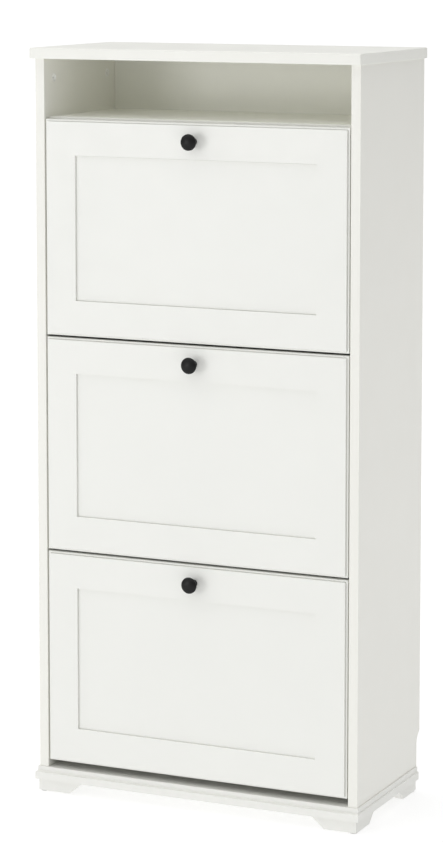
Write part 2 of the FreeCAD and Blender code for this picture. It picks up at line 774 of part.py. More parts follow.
def cam_bolts():
    members = []
    for label, _, _, _, axis, way, end in cam_joints():
        reach = (S["ShelfCamSet"] if "shelf" in label else S["CamSet"]) - 1
        tip = along(axis, end, S["ThreadDepth"] * way)
        steps = [(S["BoltThread"], S["ThreadDepth"]), (S["BoltRadius"], reach)]
        members.append(stepped_rod(f"bolt_{label}", axis, tip, -way, steps))
    return group("cam_bolts", members)


def dowels():
    members = []
    run = S["DowelLength"] - S["DowelInside"]

    def add(axis, start):
        label = f"dowel_{len(members)}"
        members.append(rod(label, axis, start, S["DowelRadius"], S["DowelLength"]))

    for _, sign in SIDES:
        for y in DOWEL_ROWS:
            add("z", (SIDE_MIDDLE * sign, y, TOP_UNDER - run))
            add("z", (SIDE_MIDDLE * sign, y, BASE_TOP - S["DowelInside"]))
        level = [(SHELF_DOWEL_Y, SHELF_MIDDLE)]
        for _, low, high, front in RAILS:
            level += rail_dowel_places(low, high, front)
        for y, z in level:
            outer = (INNER + S["DowelInside"]) * sign
            add("x", span("x", (outer, y, z), S["DowelLength"], -sign))
    return group("dowels", members)


def pivot_bushes():
    """Flanged bushes in the sides, bored for the pins."""
    members = []
    for name, sign in SIDES:
        for number in range(3):
            label = f"bush_{name}_{number}"
            start = ((INNER - S["FlangeThick"]) * sign, PIVOT_Y, pivot_height(number))
            steps = [(S["BushFlange"], S["FlangeThick"]), (S["BushRadius"], S["BushDepth"])]
            turned = stepped_rod(f"{label}_turned", "x", start, sign, steps)
            length = S["FlangeThick"] + S["BushDepth"]
            bore = rod(f"{label}_bore", "x", span("x", start, length, sign),
                       S["PinRadius"] + S["RunningFit"], length)
            bush = doc.addObject("Part::Cut", label)
            bush.Base = turned
            bush.Tool = bore
            members.append(bush)
    return group("pivot_bushes", members)


def stop_pegs():
    """Pegs in the sides that run in the cheeks' slots."""
    members = []
    length = S["BushDepth"] + S["CheekGap"] + S["CheekThick"] - 0.5
    for name, sign in SIDES:
        for number in range(3):
            outer = (INNER + S["BushDepth"]) * sign
            place = (outer, PIVOT_Y + S["PegOut"], pivot_height(number) + S["PegUp"])
            label = f"peg_{name}_{number}"
            members.append(rod(label, "x", span("x", place, length, -sign), S["PegRadius"], length))
    return group("stop_pegs", members)


# ---------------------------------------------------------------- one tip-out front
# Every piece of a front is drawn round its own pivot: Y 0 and Z 0 are the pivot's axis.

FACE_Y = -(S["PivotBack"] + S["FrontThick"])
CHEEK_OUT = INNER - S["CheekGap"]
CHEEK_IN = CHEEK_OUT - S["CheekThick"]
KNOB_Z = S["FrontHeight"] - S["PivotRise"] - S["KnobDrop"]
STRIP_MIDDLE = CHEEK_OUT - S["StripWidth"] * 0.6
STRIP_THICK = S["CheekThick"] + S["StripRelief"]
PIN_INSIDE = 2  # a pivot pin's end beyond the cheek's inner face

# Screws and bosses of one insert, behind and above the pivot
STRIP_SCREWS = (-30, 50, 130, 210)
TRAY_SCREWS = {"front_tray": ((20, -57), (95, -57)), "rear_tray": ((142, -31), (203, -16))}

# The knob's outline: distance from the front's face and radius
KNOB_STEPS = (
    (0, S["KnobFoot"]),
    (2, S["KnobFoot"]),
    (4.5, S["NeckRadius"]),
    (10, S["NeckRadius"]),
    (16.5, S["KnobRadius"] - 4),
    (18.5, S["KnobRadius"]),
    (21, S["KnobRadius"]),
    (23, S["KnobRadius"] - 1.5),
    (25, S["KnobRadius"] - 6),
)

# The rear tray's outline behind and above the pivot: under its floor, up its rear wall and
# down again, over its floor and round its front lip
REAR_TRAY = (
    (118, -34),
    (215, -10),
    (226, 120),
    (223, 120),
    (212.3, -7.6),
    (121.3, -30),
    (125.6, 12),
    (122.6, 12),
)


def pivot_place(number):
    """Where one front's own frame stands in the cabinet."""
    return (Size.of(0), PIVOT_Y, pivot_height(number))


def front(prefix, number):
    """A framed front: edge lip, steep step up to the frame, steep recess for the panel."""
    body = make_body(f"{prefix}_front", pivot_place(number))
    half, low, high = S["FrontWidth"] / 2, -S["PivotRise"], S["FrontHeight"] - S["PivotRise"]
    lip_y = FACE_Y + S["FrontRaise"]
    plate = S["FrontThick"] - S["FrontRaise"]
    slab(body, "XZ_Plane", -lip_y, rectangle((-half, low), (half, high)), plate, -1)
    lip = S["LipWidth"]
    raised = rectangle((lip - half, low + lip), (half - lip, high - lip))
    slab(body, "XZ_Plane", -lip_y, raised, S["FrontRaise"], 1, taper=-S["BevelAngle"])
    field = rectangle(
        (S["StileWidth"] - half, low + S["CrossWidth"]),
        (half - S["StileWidth"], high - S["CrossWidth"]),
    )
    sketch = make_sketch(body, "XZ_Plane", -FACE_Y)
    draw_outline(sketch, field)
    cut(body, sketch, S["PanelSink"], -1, taper=-S["BevelAngle"])
    drill(body, "XZ_Plane", -FACE_Y, [(0, KNOB_Z)], S["KnobThread"], S["FrontThick"], -1)
    screws = [(STRIP_MIDDLE * sign, z) for sign in (-1, 1) for z in STRIP_SCREWS]
    drill(body, "XZ_Plane", S["PivotBack"], screws, S["ScrewRadius"], S["StripGrip"], 1)
    return body


def knob(prefix, number):
    """A turned knob: half of its outline, spun about its own axis."""
    body = make_body(f"{prefix}_knob", pivot_place(number))
    sketch = make_sketch(body, "XY_Plane", KNOB_Z)
    outline = [
        (S["KnobThread"], FACE_Y),
        *((radius, FACE_Y - reach) for reach, radius in KNOB_STEPS),
        (0, FACE_Y - S["KnobReach"]),
        (0, FACE_Y - S["KnobThreadDepth"]),
        (S["KnobThread"], FACE_Y - S["KnobThreadDepth"]),
    ]
    draw_outline(sketch, outline)
    turned = body.newObject("PartDesign::Revolution", f"{prefix}_knob_turned")
    turned.Profile = sketch
    turned.ReferenceAxis = (sketch, ["V_Axis"])
    turned.Angle = 360
    doc.recompute()
    return body


def knob_screw(prefix, number):
    _, y, z = pivot_place(number)
    back = y - S["PivotBack"]
    start = (Size.of(0), back + 2.5, z + KNOB_Z)
    steps = [(4, 2.5), (S["KnobThread"], S["FrontThick"] + S["KnobThreadDepth"] - 0.5)]
    screw = stepped_rod(f"{prefix}_knob_screw", "y", start, -1, steps)
    screw.Label = f"{prefix}_knob_screw"
    return screw


def slot_outline():
    """The slot that the stop peg runs in: two arcs about the pivot and two round ends."""
    wide = (S["PegRadius"] + S["SlotPlay"]).value
    peg = FreeCAD.Vector(S["PegOut"].value, S["PegUp"].value, 0)
    turn = FreeCAD.Rotation(FreeCAD.Vector(0, 0, 1), -S["OpenAngle"].value)
    half_turn = FreeCAD.Rotation(FreeCAD.Vector(0, 0, 1), -S["OpenAngle"].value / 2)
    radius = peg.Length
    out = peg * ((radius + wide) / radius)
    inside = peg * ((radius - wide) / radius)
    sideways = FreeCAD.Vector(-peg.y, peg.x, 0).normalize() * wide
    corners = [out, turn * out, turn * inside, inside]
    middles = [half_turn * out, turn * (peg - sideways), half_turn * inside, peg + sideways]
    return corners, middles


def cheek(prefix, number, name, sign):
    """A plastic side plate with its pivot boss, peg slot and screw strip."""
    body = make_body(f"{prefix}_cheek_{name}", pivot_place(number))
    inner = CHEEK_IN * sign
    against = -S["PivotBack"]
    strip = against + S["CheekThick"]
    radius = S["CheekRadius"].value
    high = (radius * radius - strip.value ** 2) ** 0.5
    rear = (radius * radius - S["CheekReach"].value ** 2) ** 0.5
    bow = FreeCAD.Vector(strip.value + S["CheekReach"].value, high + rear, 0)
    bow = bow.normalize() * radius
    outline = [
        (strip, -S["CheekDrop"]),
        (S["CheekToe"], -S["CheekDrop"]),
        (S["CheekReach"], -S["CheekHeel"]),
        (S["CheekReach"], rear),
        (strip, high),
    ]
    slab(body, "YZ_Plane", inner, outline, S["CheekThick"], sign, {3: (bow, 0)})
    foot = S["StripFoot"] - S["CheekDrop"]
    flat = rectangle((against, foot), (against + STRIP_THICK, S["StripTop"]))
    slab(body, "YZ_Plane", CHEEK_OUT * sign, flat, S["StripWidth"], -sign)
    sketch = make_sketch(body, "YZ_Plane", CHEEK_OUT * sign)
    draw_circles(sketch, [(0, 0)], S["BossRadius"])
    grow(body, sketch, S["BossStand"], sign)
    corners, middles = slot_outline()
    sketch = make_sketch(body, "YZ_Plane", inner)
    for index, start in enumerate(corners):
        sketch.addGeometry(Part.Arc(start, middles[index], corners[(index + 1) % 4]), False)
    cut(body, sketch, S["CheekThick"], sign)
    drill(body, "YZ_Plane", inner, [(0, 0)], S["PinRadius"], S["CheekThick"] + S["BossStand"], sign)
    places = [place for tray in TRAY_SCREWS.values() for place in tray]
    drill(body, "YZ_Plane", inner, places, S["ScrewRadius"], S["CheekThick"], sign)
    screws = [(STRIP_MIDDLE * sign, z) for z in STRIP_SCREWS]
    drill(body, "XZ_Plane", S["PivotBack"], screws, S["ScrewRadius"], S["CheekThick"] + 1, -1)
    return body


def tray(prefix, number, name, outline):
    """A bent sheet between the cheeks, with a screw boss under each corner."""
    body = make_body(f"{prefix}_{name}", pivot_place(number))
    slab(body, "YZ_Plane", -CHEEK_IN, outline, CHEEK_IN * 2)
    for sign in (-1, 1):
        sketch = make_sketch(body, "YZ_Plane", CHEEK_IN * sign)
        draw_circles(sketch, TRAY_SCREWS[name], S["TrayBoss"])
        grow(body, sketch, S["TrayBossLength"], -sign)
        drill(body, "YZ_Plane", CHEEK_IN * sign, TRAY_SCREWS[name], S["ScrewRadius"],
              S["TrayGrip"], -sign)
    return body


def front_tray(prefix, number):
    sheet_thick = S["SheetThick"]
    floor, lip = -S["TrayFloor"], S["TrayLip"] - S["TrayFloor"]
    wall_foot, wall_top, wall_height = S["TrayWallFoot"], S["TrayWallTop"], S["TrayWallHeight"]
    start = STRIP_THICK - S["PivotBack"]
    outline = [
        (start, floor - sheet_thick),
        (wall_foot + sheet_thick, floor - sheet_thick),
        (wall_top + sheet_thick, wall_height),
        (wall_top, wall_height),
        (wall_foot, floor),
        (start + sheet_thick, floor),
        (start + sheet_thick, lip),
        (start, lip),
    ]
    return tray(prefix, number, "front_tray", outline)


def rear_tray(prefix, number):
    return tray(prefix, number, "rear_tray", REAR_TRAY)


def pivot_pins(prefix, number):
    _, y, z = pivot_place(number)
    inner = CHEEK_IN - PIN_INSIDE
    length = INNER + S["BushDepth"] - 1 - inner
    members = [
        rod(f"{prefix}_pin_{name}", "x", span("x", (inner * sign, y, z), length, sign),
            S["PinRadius"], length)
        for name, sign in SIDES
    ]
    return group(f"{prefix}_pivot_pins", members)


def cheek_screws(prefix, number):
    _, y, z = pivot_place(number)
    head_y = y - S["PivotBack"] + STRIP_THICK + S["HeadThick"]
    shank = STRIP_THICK + S["StripGrip"]
    steps = [(S["HeadRadius"], S["HeadThick"]), (S["ScrewRadius"], shank)]
    members = []
    for name, sign in SIDES:
        for index, height in enumerate(STRIP_SCREWS):
            start = (STRIP_MIDDLE * sign, head_y, z + height)
            label = f"{prefix}_cheek_screw_{name}_{index}"
            members.append(stepped_rod(label, "y", start, -1, steps))
    return group(f"{prefix}_cheek_screws", members)


def tray_screws(prefix, number):
    _, y, z = pivot_place(number)
    steps = [
        (S["HeadRadius"], S["HeadThick"]),
        (S["ScrewRadius"], S["CheekThick"] + S["TrayGrip"]),
    ]
    members = []
    for name, sign in SIDES:
        for place in (place for tray in TRAY_SCREWS.values() for place in tray):
            start = ((CHEEK_OUT + S["HeadThick"]) * sign, y + place[0], z + place[1])
            label = f"{prefix}_tray_screw_{name}_{len(members)}"
            members.append(stepped_rod(label, "x", start, -sign, steps))
    return group(f"{prefix}_tray_screws", members)


# ---------------------------------------------------------------- build and write

pieces = [
    top_panel(),
    bottom_panel(),
    *(side(name, sign) for name, sign in SIDES),
    niche_shelf(),
    *(rear_rail(*rail) for rail in RAILS),
    back_panel(),
    back_panel_nails(),
    *(foot(*corner) for corner in FOOT_CORNERS),
    foot_screws(),
    foot_glides(),
    cam_locks(),
    cam_bolts(),
    dowels(),
    pivot_bushes(),
    stop_pegs(),
]
for number, prefix in enumerate(FRONT_NAMES):
    pieces += [
        front(prefix, number),
        knob(prefix, number),
        knob_screw(prefix, number),
        *(cheek(prefix, number, name, sign) for name, sign in SIDES),
        front_tray(prefix, number),
        rear_tray(prefix, number),
        pivot_pins(prefix, number),
        cheek_screws(prefix, number),
        tray_screws(prefix, number),
    ]

doc.recompute()
for thing in doc.Objects:
    if "Invalid" in thing.State or "Error" in thing.State:
        raise RuntimeError(f"{thing.Label} did not compute: {thing.State}")
os.makedirs("parts", exist_ok=True)
for piece in pieces:
    shape = piece.Shape
    if shape.isNull() or not shape.isValid() or not shape.Solids:
        raise RuntimeError(f"{piece.Label} has no valid solid")
for piece in pieces:
    piece.Shape.exportStep(f"parts/{piece.Label}.step")
print(len(pieces), "pieces written")
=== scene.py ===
"""A tall white shoe cabinet: three tip-out fronts below an open niche, on a base with bracket feet."""

import json
import logging
import math
from collections.abc import Callable, Iterator, Sequence
from contextlib import contextmanager
from dataclasses import dataclass, field
from enum import Enum

import bmesh
import bpy
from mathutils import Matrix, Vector


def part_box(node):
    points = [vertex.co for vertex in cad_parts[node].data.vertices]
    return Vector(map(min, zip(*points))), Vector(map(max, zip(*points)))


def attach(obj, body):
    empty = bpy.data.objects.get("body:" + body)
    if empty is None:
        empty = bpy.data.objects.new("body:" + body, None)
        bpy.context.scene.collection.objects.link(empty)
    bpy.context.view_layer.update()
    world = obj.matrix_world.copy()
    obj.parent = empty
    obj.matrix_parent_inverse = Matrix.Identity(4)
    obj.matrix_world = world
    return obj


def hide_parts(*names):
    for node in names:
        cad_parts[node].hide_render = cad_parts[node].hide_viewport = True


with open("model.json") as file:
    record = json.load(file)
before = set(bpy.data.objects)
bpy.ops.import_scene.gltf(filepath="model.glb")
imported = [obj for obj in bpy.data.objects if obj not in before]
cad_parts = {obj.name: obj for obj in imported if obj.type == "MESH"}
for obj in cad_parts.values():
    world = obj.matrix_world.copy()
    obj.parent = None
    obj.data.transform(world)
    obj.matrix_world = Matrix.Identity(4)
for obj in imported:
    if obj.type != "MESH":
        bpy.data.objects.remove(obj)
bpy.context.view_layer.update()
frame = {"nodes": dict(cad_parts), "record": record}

MM = 0.001
ON_FACE = 0.01 * MM
ON_LEVEL = 0.05 * MM
SHARP_FROM = math.radians(25)
MIDDLE_HEIGHT = 0.65
log = logging.getLogger("shoe_cabinet")

Point = tuple[float, float, float]
Colour = tuple[float, float, float]


class Axis(Enum):
    """A direction of the cabinet: X to the right, Y to the wall, Z up."""

    X = (1.0, 0.0, 0.0)
    Y = (0.0, 1.0, 0.0)
    Z = (0.0, 0.0, 1.0)

    @property
    def turn(self) -> Point:
        """The Euler angles that turn +Z to this axis."""
        return {"X": (0.0, math.pi / 2, 0.0), "Y": (-math.pi / 2, 0.0, 0.0)}.get(self.name, (0.0, 0.0, 0.0))


class Hand(Enum):
    """Left or right of the cabinet, with its sign along X."""

    LEFT = -1
    RIGHT = 1


class Flap(Enum):
    """The three tip-out fronts, by the prefix of their nodes."""

    BOTTOM = "bottom"
    MIDDLE = "middle"
    TOP = "top"

    @property
    def body(self) -> str:
        """The body that this flap's pieces ride on."""
        return f"{self.value}_flap"


class Slot(Enum):
    """The cabinet's finishes, by the record's slot names."""

    PAINT = "white_paint"
    FOIL = "white_foil"
    HARDBOARD = "white_hardboard"
    PLASTIC = "white_plastic"
    GLIDE = "glide_plastic"
    BLACK = "black_metal"
    ZINC = "zinc_steel"
    CAM = "cam_zinc"
    BEECH = "beech"


class Bench:
    """The modelling moves that every sub-assembly uses."""

    @staticmethod
    def clear() -> None:
        """Leaves edit mode and deselects everything."""
        if bpy.context.mode != "OBJECT":
            bpy.ops.object.mode_set(mode="OBJECT")
        bpy.ops.object.select_all(action="DESELECT")

    @staticmethod
    def take(piece: bpy.types.Object) -> None:
        """Makes one piece the only selected and the active one."""
        Bench.clear()
        piece.select_set(True)
        bpy.context.view_layer.objects.active = piece

    @staticmethod
    def settle(name: str) -> bpy.types.Object:
        """Names the new primitive and puts its place into its mesh.

        Args:
            name: name of the piece and of its mesh.

        Returns:
            The piece, at the origin, unturned and unscaled.
        """
        piece = bpy.context.object
        piece.name = piece.data.name = name
        bpy.ops.object.transform_apply(location=True, rotation=True, scale=True)
        return piece

    @staticmethod
    def block(name: str, low: Sequence[float], high: Sequence[float]) -> bpy.types.Object:
        """Adds a block between two corners, as the start of a board or a bracket.

        Args:
            name: name of the piece.
            low: its lowest corner, in metres.
            high: its highest corner, in metres.

        Returns:
            The block.
        """
        Bench.clear()
        centre = [(a + b) / 2 for a, b in zip(low, high)]
        size = [b - a for a, b in zip(low, high)]
        bpy.ops.mesh.primitive_cube_add(size=1.0, location=centre, scale=size)
        return Bench.settle(name)

    @staticmethod
    @contextmanager
    def editing(piece: bpy.types.Object, by: str = "FACE") -> Iterator[None]:
        """Opens a piece in edit mode with nothing selected.

        Args:
            piece: the piece to work on.
            by: VERT, EDGE or FACE.
        """
        Bench.take(piece)
        bpy.ops.object.mode_set(mode="EDIT")
        bpy.ops.mesh.select_mode(type=by)
        bpy.ops.mesh.select_all(action="DESELECT")
        yield
        bpy.ops.object.mode_set(mode="OBJECT")

    @staticmethod
    def pick_faces(piece: bpy.types.Object, wanted: Callable[[Vector, Vector], bool]) -> None:
        """Selects the faces of an open piece by their middle and normal."""
        mesh = bmesh.from_edit_mesh(piece.data)
        mesh.normal_update()
        for face in mesh.faces:
            face.select_set(wanted(face.calc_center_median(), face.normal))
        bmesh.update_edit_mesh(piece.data)

    @staticmethod
    def pick_edges(piece: bpy.types.Object, wanted: Callable[[Vector, Vector], bool]) -> None:
        """Selects the edges of an open piece by their two ends."""
        mesh = bmesh.from_edit_mesh(piece.data)
        for edge in mesh.edges:
            edge.select_set(wanted(*(point.co for point in edge.verts)))
        bmesh.update_edit_mesh(piece.data)

    @staticmethod
    def pick_points(piece: bpy.types.Object, wanted: Callable[[Vector], bool]) -> None:
        """Selects the points of an open piece by their place."""
        mesh = bmesh.from_edit_mesh(piece.data)
        for point in mesh.verts:
            point.select_set(wanted(point.co))
        bmesh.update_edit_mesh(piece.data)

    @staticmethod
    def shift(step: Sequence[float]) -> None:
        """Moves what is selected."""
        bpy.ops.transform.translate(value=tuple(step))

    @staticmethod
    def stretch(factors: Sequence[float], centre: Sequence[float]) -> None:
        """Scales what is selected about a point."""
        bpy.ops.transform.resize(value=tuple(factors), center_override=tuple(centre))

    @staticmethod
    def extrude(step: Sequence[float]) -> None:
        """Extrudes what is selected by a step."""
        bpy.ops.mesh.extrude_region_move(TRANSFORM_OT_translate={"value": tuple(step)})

    @staticmethod
    def slice(piece: bpy.types.Object, axis: Axis, place: float) -> None:
        """Cuts an open piece all through with a plane, and keeps both halves."""
        bpy.ops.mesh.select_all(action="SELECT")
        spot = tuple(place * part for part in axis.value)
        bpy.ops.mesh.bisect(plane_co=spot, plane_no=axis.value)
        bpy.ops.mesh.select_all(action="DESELECT")

    @staticmethod
    def finish_with(piece: bpy.types.Object, kind: str, **settings: object) -> None:
        """Adds a modifier, sets it and applies it.

        Args:
            piece: the piece it works on.
            kind: the modifier's type.
            settings: its settings by name.
        """
        Bench.take(piece)
        modifier = piece.modifiers.new(kind.title(), kind)
        for name, value in settings.items():
            setattr(modifier, name, value)
        bpy.ops.object.modifier_apply(modifier=modifier.name)

    @staticmethod
    def subtract(piece: bpy.types.Object, cutter: bpy.types.Object) -> None:
        """Cuts one shape out of a piece and removes the cutter."""
        Bench.finish_with(piece, "BOOLEAN", object=cutter, operation="DIFFERENCE", solver="EXACT")
        bpy.data.objects.remove(cutter)

    @staticmethod
    def join(name: str, parts: Sequence[bpy.types.Object]) -> bpy.types.Object:
        """Joins several shapes into one piece.

        Args:
            name: name of the joined piece.
            parts: the shapes.

        Returns:
            The joined piece.
        """
        Bench.take(parts[0])
        for part in parts:
            part.select_set(True)
        bpy.ops.object.join()
        parts[0].name = parts[0].data.name = name
        return parts[0]

    @staticmethod
    def copy(piece: bpy.types.Object, name: str, step: Sequence[float] = (0.0, 0.0, 0.0)) -> bpy.types.Object:
        """Copies a piece with its own mesh, and moves the copy's mesh.

        Args:
            piece: the piece to copy.
            name: name of the copy.
            step: how far the copy is moved.

        Returns:
            The copy.
        """
        Bench.take(piece)
        bpy.ops.object.duplicate(linked=False)
        twin = bpy.context.object
        twin.name = twin.data.name = name
        twin.location = step
        bpy.ops.object.transform_apply(location=True, rotation=True, scale=True)
        return twin

    @staticmethod
    def reflect(piece: bpy.types.Object, axis: Axis, place: float = 0.0) -> None:
        """Mirrors a piece's mesh in a plane across an axis, and turns its faces out again."""
        factors = [-1.0 if part else 1.0 for part in axis.value]
        with Bench.editing(piece):
            bpy.ops.mesh.select_all(action="SELECT")
            Bench.stretch(factors, [place * part for part in axis.value])
            bpy.ops.mesh.normals_make_consistent(inside=False)

    @staticmethod
    def turned(
        name: str,
        start: Sequence[float],
        axis: Axis,
        way: int,
        outline: Sequence[tuple[float, float]],
        sides: int,
    ) -> bpy.types.Object:
        """Models a turned shape: a round face, extruded and scaled from station to station.

        Args:
            name: name of the piece.
            start: the middle of the first face.
            axis: the axis it is turned about.
            way: 1 or -1 along that axis.
            outline: (distance from the start, radius) for every station.
            sides: how many faces go round.

        Returns:
            The closed shape.
        """
        Bench.clear()
        base = Vector(start)
        run, radius = outline[0]
        along = Vector(axis.value) * way
        bpy.ops.mesh.primitive_circle_add(
            vertices=sides, radius=radius, fill_type="NGON", location=base + along * run, rotation=axis.turn
        )
        piece = Bench.settle(name)
        with Bench.editing(piece):
            bpy.ops.mesh.select_all(action="SELECT")
            for next_run, next_radius in outline[1:]:
                Bench.extrude(along * (next_run - run))
                ratio = next_radius / radius
                factors = [1.0 if part else ratio for part in axis.value]
                Bench.stretch(factors, base + along * next_run)
                run, radius = next_run, next_radius
            bpy.ops.mesh.select_all(action="SELECT")
            bpy.ops.mesh.normals_make_consistent(inside=False)
        return piece

    @staticmethod
    def bore(
        piece: bpy.types.Object, start: Sequence[float], axis: Axis, way: int, radius: float, depth: float
    ) -> None:
        """Drills a round pocket into a piece.

        Args:
            piece: the piece that is drilled.
            start: the middle of the pocket's mouth.
            axis: the axis of the drill.
            way: 1 or -1 along that axis.
            radius: the pocket's radius.
            depth: the pocket's depth.
        """
        outline = [(-MM, radius), (depth, radius)]
        Bench.subtract(piece, Bench.turned("drill", start, axis, way, outline, 32))

    @staticmethod
    def ease(piece: bpy.types.Object, width: float, segments: int = 2) -> None:
        """Breaks a piece's sharp edges and shades it so that its flats stay flat.

        Args:
            piece: the piece.
            width: width of the broken edge.
            segments: facets across it.
        """
        Bench.finish_with(
            piece, "BEVEL", width=width, segments=segments, limit_method="ANGLE", angle_limit=SHARP_FROM
        )
        Bench.shade(piece)

    @staticmethod
    def shade(piece: bpy.types.Object, angle: float = 40.0) -> None:
        """Smooths a piece's shading below an angle in degrees, with the large faces leading."""
        Bench.take(piece)
        bpy.ops.object.shade_smooth_by_angle(angle=math.radians(angle))
        Bench.finish_with(piece, "WEIGHTED_NORMAL", keep_sharp=True)


class Recipe:
    """A material's node tree while it is written."""

    def __init__(self, name: str) -> None:
        """Starts a material with one shader on it."""
        self.material = bpy.data.materials.new(name)
        self.material.use_nodes = True
        self.tree = self.material.node_tree
        self.tree.nodes.clear()
        self.shader = self.tree.nodes.new("ShaderNodeBsdfPrincipled")
        output = self.tree.nodes.new("ShaderNodeOutputMaterial")
        self.tree.links.new(self.shader.outputs["BSDF"], output.inputs["Surface"])
        self.place = self.tree.nodes.new("ShaderNodeTexCoord").outputs["Object"]
        self.height: bpy.types.NodeSocket | None = None

    def stretched(self, factors: Point) -> bpy.types.NodeSocket:
        """Object coordinates, scaled along each axis."""
        mapping = self.tree.nodes.new("ShaderNodeMapping")
        mapping.inputs["Scale"].default_value = factors
        self.tree.links.new(self.place, mapping.inputs["Vector"])
        return mapping.outputs["Vector"]

    def noise(
        self, scale: float, detail: float = 2.0, rough: float = 0.5, factors: Point = (1.0, 1.0, 1.0)
    ) -> bpy.types.NodeSocket:
        """Adds a noise pattern.

        Args:
            scale: how many waves to the metre.
            detail: how many finer layers.
            rough: how strong the finer layers are.
            factors: stretch along each axis.

        Returns:
            The pattern, about 0 to 1.
        """
        texture = self.tree.nodes.new("ShaderNodeTexNoise")
        texture.inputs["Scale"].default_value = scale
        texture.inputs["Detail"].default_value = detail
        texture.inputs["Roughness"].default_value = rough
        self.tree.links.new(self.stretched(factors), texture.inputs["Vector"])
        return texture.outputs["Fac"]

    def cells(self, scale: float) -> bpy.types.NodeSocket:
        """Adds a pattern of small rounded cells, so many to the metre."""
        texture = self.tree.nodes.new("ShaderNodeTexVoronoi")
        texture.feature = "SMOOTH_F1"
        texture.inputs["Scale"].default_value = scale
        self.tree.links.new(self.place, texture.inputs["Vector"])
        return texture.outputs["Distance"]

    def between(self, pattern: bpy.types.NodeSocket, low: float, high: float) -> bpy.types.NodeSocket:
        """Spreads the middle of a pattern between two numbers."""
        spread = self.tree.nodes.new("ShaderNodeMapRange")
        spread.inputs["From Min"].default_value = 0.3
        spread.inputs["From Max"].default_value = 0.7
        spread.inputs["To Min"].default_value = low
        spread.inputs["To Max"].default_value = high
        self.tree.links.new(pattern, spread.inputs["Value"])
        return spread.outputs["Result"]

    def shades(self, pattern: bpy.types.NodeSocket, dark: Colour, light: Colour) -> bpy.types.NodeSocket:
        """Spreads the middle of a pattern between two colours."""
        ramp = self.tree.nodes.new("ShaderNodeValToRGB")
        ramp.color_ramp.elements[0].position = 0.32
        ramp.color_ramp.elements[1].position = 0.68
        ramp.color_ramp.elements[0].color = (*dark, 1.0)
        ramp.color_ramp.elements[1].color = (*light, 1.0)
        self.tree.links.new(pattern, ramp.inputs["Fac"])
        return ramp.outputs["Color"]

    def speckle(
        self, under: bpy.types.NodeSocket, pattern: bpy.types.NodeSocket, fleck: Colour, much: float
    ) -> bpy.types.NodeSocket:
        """Lays flecks of another colour over a colour, where a pattern is high.

        Args:
            under: the colour below.
            pattern: where the flecks lie.
            fleck: their colour.
            much: how well they cover, from 0 to 1.

        Returns:
            The flecked colour.
        """
        mask = self.tree.nodes.new("ShaderNodeMapRange")
        mask.inputs["From Min"].default_value = 0.62
        mask.inputs["From Max"].default_value = 0.72
        mask.inputs["To Max"].default_value = much
        mix = self.tree.nodes.new("ShaderNodeMix")
        mix.data_type = "RGBA"
        sockets = {socket.identifier: socket for socket in mix.inputs}
        sockets["B_Color"].default_value = (*fleck, 1.0)
        self.tree.links.new(pattern, mask.inputs["Value"])
        self.tree.links.new(mask.outputs["Result"], sockets["Factor_Float"])
        self.tree.links.new(under, sockets["A_Color"])
        return next(socket for socket in mix.outputs if socket.identifier == "Result_Color")

    def colour(self, source: bpy.types.NodeSocket) -> None:
        """Gives the shader its colour pattern."""
        self.tree.links.new(source, self.shader.inputs["Base Color"])

    def roughness(self, source: bpy.types.NodeSocket) -> None:
        """Gives the shader its roughness pattern."""
        self.tree.links.new(source, self.shader.inputs["Roughness"])

    def bump(self, pattern: bpy.types.NodeSocket, depth: float, strength: float) -> None:
        """Adds a layer of relief on top of those before it.

        Args:
            pattern: the height.
            depth: full depth in metres.
            strength: share of it, from 0 to 1.
        """
        relief = self.tree.nodes.new("ShaderNodeBump")
        relief.inputs["Distance"].default_value = depth
        relief.inputs["Strength"].default_value = strength
        self.tree.links.new(pattern, relief.inputs["Height"])
        if self.height is not None:
            self.tree.links.new(self.height, relief.inputs["Normal"])
        self.height = relief.outputs["Normal"]
        self.tree.links.new(self.height, self.shader.inputs["Normal"])

    def constant(self, **values: float) -> None:
        """Sets numbers on the shader's own sockets, by name with _ for a space."""
        for name, value in values.items():
            self.shader.inputs[name.replace("_", " ")].default_value = value


def shaded(colour: Colour, share: float) -> Colour:
    """A colour, a share darker or lighter."""
    return tuple(min(1.0, part * share) for part in colour)


@dataclass(frozen=True)
class SatinPaint:
    """Sprayed satin paint: a soft orange peel over a faint grain, a slight drift in tone and gloss."""

    name: str = "satin_paint"
    tone: Colour = (0.862, 0.866, 0.832)
    drift: float = 0.985
    peel: float = 620.0
    along: Axis = Axis.X

    def make(self) -> bpy.types.Material:
        """The paint as a material."""
        recipe = Recipe(self.name)
        tone = recipe.shades(recipe.noise(5.0, 3.0), shaded(self.tone, self.drift), self.tone)
        dust = recipe.noise(1500.0, 1.0)
        recipe.colour(recipe.speckle(tone, dust, shaded(self.tone, 0.93), 0.25))
        recipe.roughness(recipe.between(recipe.noise(24.0, 3.0), 0.34, 0.43))
        recipe.bump(recipe.noise(self.peel, 1.0, 0.4), 0.0002, 0.04)
        drawn = tuple(0.05 if part else 1.0 for part in self.along.value)
        recipe.bump(recipe.noise(420.0, 4.0, 0.6, drawn), 0.0002, 0.05)
        recipe.constant(IOR=1.48)
        return recipe.material


